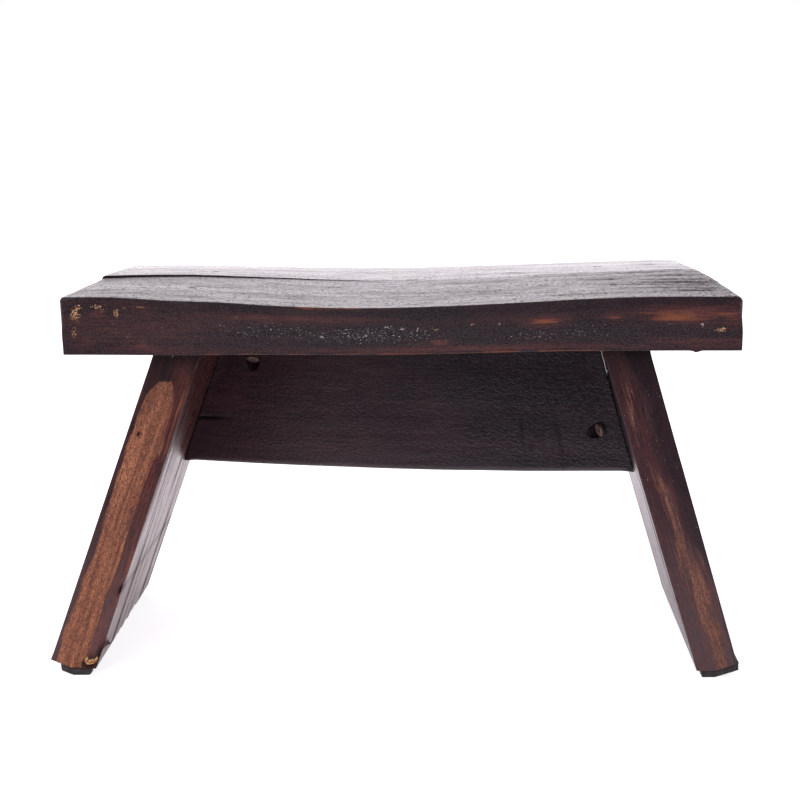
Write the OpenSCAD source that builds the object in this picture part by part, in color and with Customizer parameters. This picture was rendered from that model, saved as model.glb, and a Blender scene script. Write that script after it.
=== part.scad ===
// Low four-board stool: a dished plank seat on two splayed board legs, tied by one skewed stretcher board.
// The origin is on the floor under the middle of the whole outline.
// +X runs along the seat to the right leg, +Y to its rear edge.

/* [Seat] */
// Length of the seat plank along its front edge
seat_l = 350; // [300:5:420]
// Depth of the seat plank, front to rear
seat_d = 200; // [180:5:260]
// Thickness of the seat plank at its front corners
seat_t = 30.5; // [26:0.5:42]
// Height of the seat's front corners above the floor
stool_h = 217; // [190:1:300]
// Depth of the worn hollow along the front edge
hollow_front = 7; // [1:0.1:9]
// Depth of the worn hollow along the rear edge, under the fall behind the split
hollow_rear = 3.2; // [1:0.1:9]
// How far the deepest line of the hollow lies left of the plank's middle
hollow_left = 19; // [0:1:40]
// Distance from the deepest line to where the hollow runs out on the left
hollow_left_run = 140; // [90:1:180]
// Distance from the deepest line to where the hollow runs out on the right
hollow_right_run = 205; // [90:1:240]
// How far the left end runs out further at the rear than at the front
left_flare = 2.8; // [0:0.1:6]
// How far the right end draws in at the rear
right_draw = 3; // [0:0.1:6]
// Radius of the rear right corner, seen from above
rear_corner_r = 8; // [3:0.5:20]
// Radius of the other three corners, seen from above
corner_r = 2; // [1:0.5:6]

/* [Drying split in the seat] */
// Distance from the front edge to the split where it follows the grain
split_back = 117.5; // [80:0.5:150]
// How much nearer the front edge the split begins, at the left end
split_lead = 12.5; // [0:0.5:20]
// Length of the split's oblique part, along the seat from its left end
split_oblique = 100; // [40:1:120]
// Length of the split's part that follows the grain
split_straight = 86; // [20:1:120]
// Width of the split where it opens at the left end
split_w = 1.3; // [0.6:0.1:3]
// Depth of the split below the top
split_deep = 13; // [4:1:20]
// How far the rear side of the split stands proud at the left end
split_step = 1.3; // [0.2:0.1:3]
// Fall of the top from the split to the rear edge at the left end
fall_left = 3; // [0.2:0.1:5]
// Fall of the top from the split to the rear edge at the right end
fall_right = 2.1; // [0.1:0.1:5]
// Fall of the front edge at its right end
front_fall = 2.5; // [0.5:0.1:5]
// Distance from the left end to where the front edge begins to fall
front_fall_start = 75; // [40:5:200]

/* [Legs] */
// Width of the leg boards, front to rear
leg_w = 151; // [120:1:170]
// Thickness of the left leg board
left_leg_t = 25.6; // [20:0.1:32]
// Lean of the left leg away from upright, in degrees
left_splay = 20.3; // [8:0.1:24]
// Distance from the seat's left end to the left leg's outer face, under the seat
left_leg_inset = 41.5; // [30:0.5:60]
// Distance from the seat's front edge to the left leg's front edge
left_leg_setback = 26.6; // [5:0.1:45]
// Thickness of the right leg board under the seat
right_leg_t = 24.2; // [20:0.1:32]
// Thickness of the right leg board at its foot
right_foot_t = 22.4; // [18:0.1:32]
// Lean of the right leg's outer face away from upright, in degrees
right_splay = 16.3; // [8:0.1:24]
// Distance from the seat's right end to the right leg's outer face, under the seat
right_leg_inset = 43.9; // [30:0.5:60]
// Distance from the seat's front edge to the right leg's front edge
right_leg_setback = 22.1; // [5:0.1:45]
// Turn of the right leg about the upright, its rear edge swung outwards, in degrees
right_turn = 1.35; // [0:0.05:3]

/* [Feet] */
// Width of the level part of the left leg's foot, from its inner face
left_foot_flat = 13; // [10:0.5:18]
// Rise of the left leg's foot to its outer face
left_foot_rise = 4.8; // [1:0.1:8]
// Width of the level part of the right leg's foot, from its inner face
right_foot_flat = 10; // [9:0.5:16]
// Rise of the right leg's foot to its outer face
right_foot_rise = 4; // [1:0.1:8]
// Thickness of the rubber pads
pad_t = 4.2; // [3:0.1:8]
// Length of a pad, front to rear
pad_l = 28; // [20:1:45]
// Width of the left leg's pads
left_pad_w = 15.5; // [12:0.5:22]
// Distance from the left leg's inner face to its pads
left_pad_inset = 4; // [1:0.5:6]
// Width of the right leg's pads
right_pad_w = 20.5; // [14:0.5:26]
// Distance from the right leg's inner face to its pads
right_pad_inset = 3; // [1:0.5:6]
// Distance from a leg's edge to its pad
pad_setback = 1.2; // [0.5:0.1:6]

/* [Stretcher] */
// Thickness of the stretcher board
stretcher_t = 22; // [16:0.5:30]
// Height of the stretcher board at its left end
stretcher_h = 88; // [60:0.2:120]
// How much higher the stretcher's lower edge is at its right end
stretcher_climb = 6.1; // [0:0.1:12]
// How far the stretcher's lower edge bellies down between its ends
stretcher_belly = 2.5; // [0.5:0.1:8]
// Distance from the seat's front edge to the stretcher's front face, at the left leg
stretcher_left_back = 128; // [100:1:145]
// Distance from the seat's front edge to the stretcher's front face, at the right leg
stretcher_right_back = 79; // [60:1:120]
// Gap between the stretcher's right end and the leg, at the top
end_gap_top = 1.3; // [0.8:0.1:3]
// Gap between the stretcher's right end and the leg, at the bottom
end_gap_low = 0.2; // [0.1:0.1:0.7]

/* [Nails] */
// Diameter of the nail shanks
nail_d = 3.2; // [2.4:0.1:4]
// Diameter of the nail heads
nail_head_d = 4.6; // [4.2:0.1:6]
// Thickness of the nail heads
nail_head_t = 2.4; // [1.5:0.1:4]
// Length of the nails, head included
nail_l = 65; // [50:1:75]
// Length of a nail's point
nail_point = 5; // [3:0.5:8]
// Depth of the heads of the seat's nails below the height of the seat's corners
seat_nail_set = 6; // [4:0.5:12]
// Distance from a leg's outer face to its seat nails, measured level
nail_inset = 7.5; // [6:0.5:12]
// Depth of the heads of the nails in the left leg below its outer face
leg_nail_set = 3; // [2:0.5:6]
// Diameter of the foot tacks' shanks
tack_d = 1.8; // [1.2:0.1:2.4]
// Diameter of the foot tacks' heads
tack_head_d = 5; // [4:0.1:6]
// Thickness of the foot tacks' heads
tack_head_t = 0.9; // [0.5:0.1:1.2]
// Length of the foot tacks, head included
tack_l = 13; // [8:0.5:16]
// Depth of the foot tacks' heads in the pads
tack_set = 1.1; // [0.6:0.1:1.6]
// Distance from a pad's inner edge to its tacks
tack_in = 6; // [4:0.5:8]

/* [Pocket screws] */
// Diameter of the drilled screw pockets
pocket_d = 10; // [9:0.5:12]
// Depth of a pocket along its own axis, from the stretcher's face
pocket_deep = 2.5; // [1:0.5:5]
// Slant of a pocket into the stretcher's face, in degrees
pocket_slant = 34; // [25:1:40]
// Diameter of the pocket screws' shanks
screw_d = 3.8; // [3:0.1:4.5]
// Diameter of the pocket screws' heads
screw_head_d = 7.4; // [6:0.1:8.4]
// Thickness of the pocket screws' heads
screw_head_t = 2.8; // [2:0.1:4]
// Length of the pocket screws under their heads
screw_l = 30; // [26:1:34]
// Distance from the stretcher's right end to the lower pocket, along its face
right_pocket_in = 11.5; // [9:0.5:16]
// Height of the lower pocket above the stretcher's lower left corner
right_pocket_up = 29; // [18:0.2:40]
// Climb of the lower pocket towards the leg, in degrees
right_pocket_tilt = 20; // [0:1:30]
// Distance from the stretcher's upper left corner to the upper pocket, along its face
upper_pocket_in = 14; // [8:1:60]
// Distance from the seat's underside to the upper pocket
upper_pocket_down = 20; // [16:1:24]

/* [Hidden] */
$fn = 48;

// Overrun of every cut past the face that it breaks through
over = 5;
// Clearance round each driven nail, tack, screw and filler
clear = 0.05;
// Clearance round each head in its hole
head_clear = 0.1;
// Width of the blunt tip of a nail, tack or screw, as a share of its shank's
tip_share = 0.25;
// Straight pieces in each half of the hollow's curve, and in the stretcher's lower edge
hollow_steps = 14;
belly_steps = 12;

// Places of the seat nails along each leg, as shares of the leg's width from its front edge
left_nail_shares = [0.18, 0.77];
right_nail_shares = [0.22, 0.90];
// Places of the tacks along each pad, as shares of the pad's length
tack_shares = [0.25, 0.75];
// Heights of the nails in the stretcher's left end, as shares of its height
end_nail_shares = [0.55, 0.84];

// Places that follow from the sizes above
seat_under = stool_h - seat_t;
front = -seat_d / 2;
rear = seat_d / 2;
split_y = front + split_back;
split_l = split_oblique + split_straight;
split_rate = split_lead / split_oblique;
leg_drop = seat_under - pad_t;
left_across = left_leg_t / cos(left_splay);
left_run = leg_drop * tan(left_splay);
right_across = right_leg_t / cos(right_splay);
right_foot_across = right_foot_t / cos(right_splay);
right_run = leg_drop * tan(right_splay);
left_out_x = left_leg_inset - seat_l / 2;
right_out_x = seat_l / 2 - right_leg_inset;

// The outline reaches furthest left at the left foot's outer corner, and furthest right at the right rear pad
left_reach = left_out_x - left_run * (leg_drop - left_foot_rise) / leg_drop;
right_pad_u = right_foot_across - right_run - right_pad_inset - right_pad_w;
right_pad_end = leg_w - pad_setback;
right_reach = right_out_x - right_pad_u * cos(right_turn) + right_pad_end * sin(right_turn);
middle_x = (left_reach + right_reach) / 2;

// The stretcher runs from the left leg's inner face to the right leg's, nearer the front at its right end
stretcher_x = left_out_x + left_across;
stretcher_span = right_out_x - right_across - stretcher_x;
stretcher_skew = atan((stretcher_left_back - stretcher_right_back) / stretcher_span);
stretcher_face_l = stretcher_span / cos(stretcher_skew);
left_slope = left_run / leg_drop;
right_slope = (right_across - right_foot_across + right_run) / leg_drop;

// Distance inwards from a leg's outer top corner to its inner face, at height w from the seat's underside
function left_inner(w) = left_across + w * left_slope;
function right_inner(w) = right_across + w * right_slope;

// A leg's outline in its own frame: inwards and up from its outer top corner under the seat
function leg_outline(top, foot, run, flat, rise) = [
    [0, 0],
    [top, 0],
    [foot - run, -leg_drop],
    [foot - run - flat, -leg_drop],
    [-run * (leg_drop - rise) / leg_drop, rise - leg_drop]];

// A pad's outline in its leg's frame: it bends up with the foot and keeps its thickness
function foot_slope(foot, flat, rise, run) =
    rise / (foot - flat - run * rise / leg_drop);
function pad_outline(foot, run, flat, rise, inset, w) =
    let (knee = foot - run - flat,
        start = foot - run - inset,
        end = start - w,
        lift = (knee - end) * foot_slope(foot, flat, rise, run))
    [[start, -leg_drop], [knee, -leg_drop], [end, lift - leg_drop],
        [end, lift - leg_drop - pad_t], [knee, -leg_drop - pad_t], [start, -leg_drop - pad_t]];

// A flat shape drawn in x and z, carried along +Y
module along_y(length) {
    translate([0, length, 0])
        rotate([90, 0, 0])
            linear_extrude(height = length)
                children();
}

// The whole stool, centred on its outline
module centred() {
    translate([-middle_x, 0, 0])
        children();
}

// The legs' own frames, with +X inwards
module left_frame() {
    translate([left_out_x, front + left_leg_setback, seat_under])
        children();
}
module right_frame() {
    translate([right_out_x, front + right_leg_setback, seat_under])
        rotate([0, 0, -right_turn])
            mirror([1, 0, 0])
                children();
}

// The stretcher's own frame: along its face, into its thickness and up, from its upper left corner
module stretcher_frame() {
    translate([stretcher_x, front + stretcher_left_back, seat_under])
        rotate([0, 0, -stretcher_skew])
            children();
}

// A driven nail along +Z with its head's top at the origin, grown by a clearance for its hole
module nail(grow, head_grow) {
    translate([0, 0, -nail_head_t])
        cylinder(d = nail_head_d + 2 * head_grow, h = nail_head_t);
    translate([0, 0, nail_point - nail_l])
        cylinder(d = nail_d + 2 * grow, h = nail_l - nail_point - nail_head_t);
    translate([0, 0, -nail_l])
        cylinder(d1 = nail_d * tip_share + 2 * grow, d2 = nail_d + 2 * grow, h = nail_point);
}

// The hole that is open from a head's top out to the surface, or the filler in it
module filler_bore(grow, length) {
    cylinder(d = nail_head_d + 2 * grow, h = length);
}

// Places of the seat nails in a leg's frame, aligned with its lean
module seat_nail_places(shares, splay) {
    for (s = shares)
        translate([nail_inset, s * leg_w, 0])
            rotate([0, splay, 0])
                translate([0, 0, (seat_t - seat_nail_set) / cos(splay)])
                    children();
}

// Places of the nails in the stretcher's left end: along its length, driven in through the left leg
module end_nail_places() {
    for (s = end_nail_shares) {
        below = s * stretcher_h;
        outer = (left_across + below * left_slope) / cos(stretcher_skew)
            + stretcher_t / 2 * tan(stretcher_skew);
        stretcher_frame()
            translate([leg_nail_set - outer, stretcher_t / 2, -below])
                rotate([0, -90, 0])
                    children();
    }
}

// Places of the pockets in the stretcher's face: +Z runs down into the pocket
module pocket_place(x, z, climb) {
    stretcher_frame()
        translate([x, 0, z])
            rotate([0, -climb, 0])
                rotate([0, 0, pocket_slant])
                    rotate([0, 90, 0])
                        children();
}
module right_pocket_place() {
    low = right_pocket_up - stretcher_h;
    pocket_place(stretcher_face_l - low * right_slope - right_pocket_in, low, right_pocket_tilt)
        children();
}
module upper_pocket_place() {
    pocket_place(upper_pocket_in, -upper_pocket_down, 90)
        children();
}

// A pocket screw with its head on the pocket's floor, grown by a clearance for its hole
module pocket_screw(grow) {
    point = screw_d;
    translate([0, 0, pocket_deep])
        cylinder(d = screw_d + 2 * grow, h = screw_l - point);
    translate([0, 0, pocket_deep + screw_l - point])
        cylinder(d1 = screw_d + 2 * grow, d2 = screw_d * tip_share + 2 * grow, h = point);
}

// The tacks' places under a leg, in its frame, with +Z up into the foot
module tack_places(foot, run, inset) {
    for (start = [pad_setback, leg_w - pad_setback - pad_l])
        for (s = tack_shares)
            translate([foot - run - inset - tack_in, start + s * pad_l, -leg_drop - pad_t])
                children();
}
module left_tack_places() {
    left_frame()
        tack_places(left_across, left_run, left_pad_inset)
            children();
}
module right_tack_places() {
    right_frame()
        tack_places(right_foot_across, right_run, right_pad_inset)
            children();
}
module tack(grow) {
    translate([0, 0, tack_set + tack_head_t])
        cylinder(d = tack_d + 2 * grow, h = tack_l - tack_head_t - tack_d);
    translate([0, 0, tack_set + tack_l - tack_d])
        cylinder(d1 = tack_d + 2 * grow, d2 = tack_d * tip_share + 2 * grow, h = tack_d);
}

// The seat seen from above, with rounded corners
module seat_plan() {
    left = -seat_l / 2;
    right = seat_l / 2;
    r = corner_r;
    q = rear_corner_r;
    polygon([
        for (a = [180:15:270]) [left + r + r * cos(a), front + r + r * sin(a)],
        for (a = [270:15:360]) [right - r + r * cos(a), front + r + r * sin(a)],
        for (a = [0:10:90]) [right - right_draw - q + q * cos(a), rear - q + q * sin(a)],
        for (a = [90:15:180]) [left - left_flare + r + r * cos(a), rear - r + r * sin(a)]]);
}

// What the worn hollow takes off over a part of the seat's depth, from the origin towards the rear:
// its own depth changes evenly from one side to the other
module hollow_cut(near, far, length) {
    edge = [for (i = [-hollow_steps:hollow_steps])
        let (share = i / hollow_steps,
            run = share < 0 ? hollow_left_run : hollow_right_run)
        [share * run - hollow_left, -far * (1 + cos(180 * share)) / 2]];
    translate([0, length, 0])
        rotate([90, 0, 0])
            linear_extrude(height = length, scale = [1, near / far], slices = 1)
                polygon(concat(edge, [
                    [hollow_right_run - hollow_left, over],
                    [-hollow_left_run - hollow_left, over]]));
}

// The hollow lies level in front of the split, and falls to the rear behind it
module seat_hollow() {
    shoaling = (hollow_front - hollow_rear) / seat_d;
    middle = hollow_front - shoaling * split_back;
    behind = seat_d - split_back;
    translate([0, front - over, stool_h])
        hollow_cut(hollow_front + over * shoaling, middle, split_back + over);
    translate([0, split_y, stool_h])
        rotate([-atan(fall_right / behind), 0, 0])
            hollow_cut(middle, hollow_rear - over * shoaling, behind + over);
}

// The split's line seen from above, from past the left end to where it runs out
split_out = left_flare + over;
split_start = [-seat_l / 2 - split_out, split_y - split_lead - split_out * split_rate];
split_turn = [-seat_l / 2 + split_oblique, split_y];
split_end = [-seat_l / 2 + split_l, split_y];

// What is off the top in front of the split, where that side lies lower and its right end is worn,
// and behind it, where the top falls away
module seat_falls() {
    left = -seat_l / 2;
    front_tilt = atan(split_step / split_back);
    front_rise = atan(split_step / split_l);
    worn_tilt = atan(front_fall / split_back);
    worn_drop = atan(front_fall / (seat_l - front_fall_start));
    rear_tilt = atan(fall_left / (seat_d - split_back));
    rear_rise = atan((fall_left - fall_right) / seat_l);
    intersection() {
        translate([left, front, stool_h])
            rotate([-front_tilt, -front_rise, 0])
                translate([-2 * over, -over, 0])
                    cube([seat_l + 4 * over, split_back + over, seat_t]);
        translate([0, 0, seat_under])
            linear_extrude(height = 2 * seat_t)
                polygon([split_start, split_turn, split_end,
                    [split_end.x, front - over], [split_start.x, front - over]]);
    }
    translate([left + front_fall_start, front, stool_h])
        rotate([worn_tilt, worn_drop, 0])
            translate([-over, -2 * over, 0])
                cube([seat_l, split_back + 2 * over, seat_t]);
    translate([left, split_y, stool_h])
        rotate([-rear_tilt, -rear_rise, 0])
            translate([-2 * over, 0, 0])
                cube([seat_l + 4 * over, seat_d, seat_t]);
}

// The drying split, wide at the left end and running out to nothing
module seat_split() {
    half = split_w / 2;
    half_turn = half * split_straight / split_l;
    translate([0, 0, stool_h - split_deep])
        linear_extrude(height = split_deep + over)
            polygon([
                split_start - [0, half], split_turn - [0, half_turn], split_end,
                split_turn + [0, half_turn], split_start + [0, half]]);
}

// The seat before its nail holes are bored
module seat_board() {
    difference() {
        translate([0, 0, seat_under])
            linear_extrude(height = seat_t)
                seat_plan();
        seat_hollow();
        seat_falls();
        seat_split();
    }
}

// The legs before their holes are bored
module left_board() {
    left_frame()
        along_y(leg_w)
            polygon(leg_outline(left_across, left_across, left_run, left_foot_flat, left_foot_rise));
}
module right_board() {
    right_frame()
        along_y(leg_w)
            polygon(leg_outline(right_across, right_foot_across, right_run,
                right_foot_flat, right_foot_rise));
}

// What lies outside the legs' inner faces, with the gap left at the stretcher's right end
module outside_left() {
    left_frame()
        translate([0, -over, 0])
            along_y(leg_w + 2 * over)
                polygon([[left_inner(over), over], [left_inner(-leg_drop), -leg_drop],
                    [-seat_l, -leg_drop], [-seat_l, over]]);
}
module outside_right() {
    right_frame()
        translate([0, -over, 0])
            along_y(leg_w + 2 * over)
                polygon([[right_inner(0) + end_gap_top, 0],
                    [right_inner(-stretcher_h) + end_gap_low, -stretcher_h],
                    [right_inner(-leg_drop), -leg_drop], [-seat_l, -leg_drop],
                    [-seat_l, over], [right_inner(0) + end_gap_top, over]]);
}

// The stretcher before it is bored: its lower edge bellies down and climbs to the right,
// and its ends meet the legs
module stretcher_board() {
    reach = stretcher_h * left_slope;
    long = stretcher_face_l + 2 * reach;
    lower = [for (i = [-1:belly_steps + 1])
        let (share = i / belly_steps,
            bow = 1 - (2 * share - 1) * (2 * share - 1))
        [share * long - reach, share * stretcher_climb - stretcher_h - bow * stretcher_belly]];
    difference() {
        stretcher_frame()
            along_y(stretcher_t)
                polygon(concat(lower, [[long + reach, 0], [-2 * reach, 0]]));
        outside_left();
        outside_right();
    }
}

// One pad in its leg's frame, with the recesses of its tacks
module pad(outline, start) {
    translate([0, start, 0])
        along_y(pad_l)
            polygon(outline);
}
module tack_recess() {
    translate([0, 0, -over])
        cylinder(d = tack_head_d + 2 * head_clear, h = over + tack_set + tack_head_t);
    tack(clear);
}
module left_pad(start) {
    color("#2b282b")
        difference() {
            left_frame()
                pad(pad_outline(left_across, left_run, left_foot_flat, left_foot_rise,
                    left_pad_inset, left_pad_w), start);
            left_tack_places()
                tack_recess();
        }
}
module right_pad(start) {
    color("#2b282b")
        difference() {
            right_frame()
                pad(pad_outline(right_foot_across, right_run, right_foot_flat, right_foot_rise,
                    right_pad_inset, right_pad_w), start);
            right_tack_places()
                tack_recess();
        }
}
module one_tack() {
    translate([0, 0, tack_set])
        cylinder(d = tack_head_d, h = tack_head_t);
    tack(0);
}

module seat_plank() {
    color("#35272b")
        difference() {
            seat_board();
            left_frame()
                seat_nail_places(left_nail_shares, left_splay) {
                    nail(clear, head_clear);
                    filler_bore(head_clear, seat_t);
                }
            right_frame()
                seat_nail_places(right_nail_shares, right_splay) {
                    nail(clear, head_clear);
                    filler_bore(head_clear, seat_t);
                }
            upper_pocket_place()
                pocket_screw(clear);
        }
}

module left_leg() {
    color("#7d5140")
        difference() {
            left_board();
            left_frame()
                seat_nail_places(left_nail_shares, left_splay)
                    nail(clear, head_clear);
            left_tack_places()
                tack(clear);
            end_nail_places() {
                nail(clear, head_clear);
                filler_bore(head_clear, left_leg_t);
            }
        }
}

module right_leg() {
    color("#4f3130")
        difference() {
            right_board();
            right_frame()
                seat_nail_places(right_nail_shares, right_splay)
                    nail(clear, head_clear);
            right_tack_places()
                tack(clear);
            right_pocket_place()
                pocket_screw(clear);
        }
}

module stretcher() {
    color("#3a2526")
        difference() {
            stretcher_board();
            end_nail_places()
                nail(clear, head_clear);
            right_pocket_place()
                pocket_bore();
            upper_pocket_place()
                pocket_bore();
        }
}
module pocket_bore() {
    translate([0, 0, -2 * pocket_d])
        cylinder(d = pocket_d, h = 2 * pocket_d + pocket_deep);
    pocket_screw(clear);
}

module left_leg_seat_nails() {
    color("#8d8a86")
        left_frame()
            seat_nail_places(left_nail_shares, left_splay)
                nail(0, 0);
}
module right_leg_seat_nails() {
    color("#8d8a86")
        right_frame()
            seat_nail_places(right_nail_shares, right_splay)
                nail(0, 0);
}
module left_leg_seat_fillers() {
    color("#1f1718")
        intersection() {
            left_frame()
                seat_nail_places(left_nail_shares, left_splay)
                    filler_bore(0, seat_t);
            seat_board();
        }
}
module right_leg_seat_fillers() {
    color("#1f1718")
        intersection() {
            right_frame()
                seat_nail_places(right_nail_shares, right_splay)
                    filler_bore(0, seat_t);
            seat_board();
        }
}
module stretcher_end_nails() {
    color("#8d8a86")
        end_nail_places()
            nail(0, 0);
}
module stretcher_end_fillers() {
    color("#1f1718")
        intersection() {
            end_nail_places()
                filler_bore(0, left_leg_t);
            left_board();
        }
}
module screw_with_head() {
    translate([0, 0, pocket_deep - screw_head_t])
        cylinder(d = screw_head_d, h = screw_head_t);
    pocket_screw(0);
}
module right_pocket_screw() {
    color("#7a6353")
        right_pocket_place()
            screw_with_head();
}
module upper_pocket_screw() {
    color("#7a6353")
        upper_pocket_place()
            screw_with_head();
}
module foot_tacks_left() {
    color("#8d8a86")
        left_tack_places()
            one_tack();
}
module foot_tacks_right() {
    color("#8d8a86")
        right_tack_places()
            one_tack();
}

centred() seat_plank();
centred() left_leg();
centred() right_leg();
centred() stretcher();
centred() left_pad(pad_setback);  // foot_pad_front_left
centred() left_pad(leg_w - pad_setback - pad_l);  // foot_pad_rear_left
centred() right_pad(pad_setback);  // foot_pad_front_right
centred() right_pad(leg_w - pad_setback - pad_l);  // foot_pad_rear_right
centred() foot_tacks_left();
centred() foot_tacks_right();
centred() left_leg_seat_nails();
centred() right_leg_seat_nails();
centred() left_leg_seat_fillers();
centred() right_leg_seat_fillers();
centred() stretcher_end_nails();
centred() stretcher_end_fillers();
centred() right_pocket_screw();
centred() upper_pocket_screw();
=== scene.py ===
"""A low stool of four stained boards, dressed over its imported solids.

Each board is the skin of a box of grid lines in the board's own millimetres. It is
rounded, worn and dented there, and then carried to its place in the frame.
"""

import itertools
import logging
import math
from dataclasses import dataclass, field
from enum import Enum
from functools import partial
from typing import Any, Callable

import bpy
import numpy as np
from mathutils import Matrix, Vector


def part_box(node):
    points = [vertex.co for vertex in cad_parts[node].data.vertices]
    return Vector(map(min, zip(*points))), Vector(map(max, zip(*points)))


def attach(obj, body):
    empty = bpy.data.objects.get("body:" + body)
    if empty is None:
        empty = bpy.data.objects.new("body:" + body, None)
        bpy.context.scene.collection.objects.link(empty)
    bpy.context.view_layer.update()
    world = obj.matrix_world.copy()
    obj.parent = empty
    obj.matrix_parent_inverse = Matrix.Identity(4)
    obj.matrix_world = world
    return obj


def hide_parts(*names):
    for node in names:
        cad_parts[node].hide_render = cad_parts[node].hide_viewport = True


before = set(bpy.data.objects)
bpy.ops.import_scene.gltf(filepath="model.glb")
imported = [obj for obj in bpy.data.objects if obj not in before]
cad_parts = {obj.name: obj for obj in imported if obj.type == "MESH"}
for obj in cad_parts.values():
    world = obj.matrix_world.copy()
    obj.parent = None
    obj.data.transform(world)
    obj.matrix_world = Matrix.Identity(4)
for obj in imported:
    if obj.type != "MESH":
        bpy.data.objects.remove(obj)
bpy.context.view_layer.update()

Array = np.ndarray
Spots = tuple[tuple[float, float, float, float, float], ...]
Skin = tuple[Array, list[list[int]]]
Socket = bpy.types.NodeSocket
Inputs = dict[str, Any]
Sockets = dict[str, Socket]
Adder = Callable[..., Socket]

log = logging.getLogger("stool")

# Sizes in mm that several pieces share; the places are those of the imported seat
MM = 0.001
SEAT_LONG = 350.0
SEAT_FLARE = 2.8
PAD_THICK = 4.2
PAD_LONG = 28.0
PAD_SETBACK = 1.2
LEG_WIDTH = 151.0
SEAT_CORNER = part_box("seat_plank")[0] / MM
SHIFT = SEAT_CORNER.x + SEAT_LONG / 2 + SEAT_FLARE
FRONT = round(SEAT_CORNER.y, 3)
SEAT_UNDER = round(SEAT_CORNER.z, 3)
LEG_DROP = SEAT_UNDER - PAD_THICK


# Arrays and meshes


def grid_lines(*stops: tuple[float, float]) -> Array:
    """Spaces grid lines along a board.

    Args:
        stops: positions in mm, each with the widest spacing up to the next one.

    Returns:
        The positions of all lines; between two stops they are even.
    """
    parts = [
        np.linspace(a, b, max(1, math.ceil((b - a) / step)), endpoint=False)
        for (a, step), (b, _) in zip(stops, stops[1:])
    ]
    return np.concatenate(parts + [np.array([stops[-1][0]])])


def edged(length: float, reach: float, fine: float, coarse: float) -> Array:
    """Grid lines over a length that lie close at both ends, where the arrises are rounded."""
    third = reach / 3
    return grid_lines(
        (0, fine), (third, fine * 1.6), (reach, coarse), (length - reach, fine * 1.6),
        (length - third, fine), (length, fine),
    )


def box_skin(xs: Array, ys: Array, zs: Array) -> tuple[Array, Array]:
    """Builds the closed skin of a box of grid lines.

    Every grid point on a side of the box becomes one vertex, shared by the sides that
    meet there, and each side is a sheet of quads that face outwards.

    Args:
        xs, ys, zs: the grid lines along the three directions.

    Returns:
        The points, one row each, and the quads as rows of four point numbers.
    """
    shape = (len(xs), len(ys), len(zs))
    inside = np.zeros(shape, bool)
    inside[1:-1, 1:-1, 1:-1] = True
    number = np.full(shape, -1)
    number[~inside] = np.arange(np.count_nonzero(~inside))
    i, j, k = np.nonzero(~inside)
    points = np.stack([xs[i], ys[j], zs[k]], axis=1)
    sides = (
        (number[-1], False), (number[0], True),
        (number[:, 0], False), (number[:, -1], True),
        (number[:, :, -1], False), (number[:, :, 0], True),
    )
    quads = []
    for sheet, turned in sides:
        corners = [sheet[:-1, :-1], sheet[1:, :-1], sheet[1:, 1:], sheet[:-1, 1:]]
        if turned:
            corners.reverse()
        quads.append(np.stack([c.ravel() for c in corners], axis=1))
    return points, np.concatenate(quads)


def rounded(points: Array, size: Array, radius: Array) -> tuple[Array, Array]:
    """Rounds the arrises of a box.

    Each point is set at its radius from the nearest point of a core box that is one
    radius smaller on every side, so flat parts stay where they are.

    Args:
        points: points on the skin of the box from the origin to size.
        size: the box's three lengths.
        radius: the rounding at each point.

    Returns:
        The moved points and their outward directions.
    """
    reach = radius[:, None]
    core = np.clip(points, reach, size - reach)
    away = points - core
    away /= np.linalg.norm(away, axis=1, keepdims=True)
    return core + reach * away, away


def relief(points: Array, scale: tuple[float, float, float], seed: int) -> Array:
    """Smooth random heights between -1 and 1.

    Random values stand on a cubic lattice, and each point blends the eight round it
    with smoothstep weights.

    Args:
        points: where the heights are wanted, one row each.
        scale: the lattice spacing along each direction.
        seed: picks the random values.

    Returns:
        One height for each point.
    """
    table = np.random.default_rng(seed).uniform(-1, 1, (32, 32, 32))
    place = points / np.array(scale) + 7.3
    base = np.floor(place).astype(int)
    t = place - base
    t = t * t * (3 - 2 * t)
    total = np.zeros(len(points))
    for corner in itertools.product((0, 1), repeat=3):
        weight = np.prod(np.where(np.array(corner) == 1, t, 1 - t), axis=1)
        i, j, k = ((base + np.array(corner)) % 32).T
        total += weight * table[i, j, k]
    return total


def ramp(value: Array, low: float, high: float) -> Array:
    """Rises smoothly from 0 at low to 1 at high; high may be the lower one."""
    t = np.clip((value - low) / (high - low), 0, 1)
    return t * t * (3 - 2 * t)


def marks(a: Array, b: Array, rows: Spots) -> Array:
    """Soft round marks on a face.

    Each row gives a centre in both directions, a reach in both, and a strength; a mark
    fades as a bell curve, and where marks overlap the strongest counts.

    Args:
        a, b: the two directions across the face.
        rows: the marks.

    Returns:
        The strength at each point.
    """
    total = np.zeros(len(a))
    for at_a, at_b, reach_a, reach_b, strength in rows:
        bell = np.exp(-(((a - at_a) / reach_a) ** 2) - ((b - at_b) / reach_b) ** 2)
        total = np.maximum(total, strength * bell)
    return total


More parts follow.
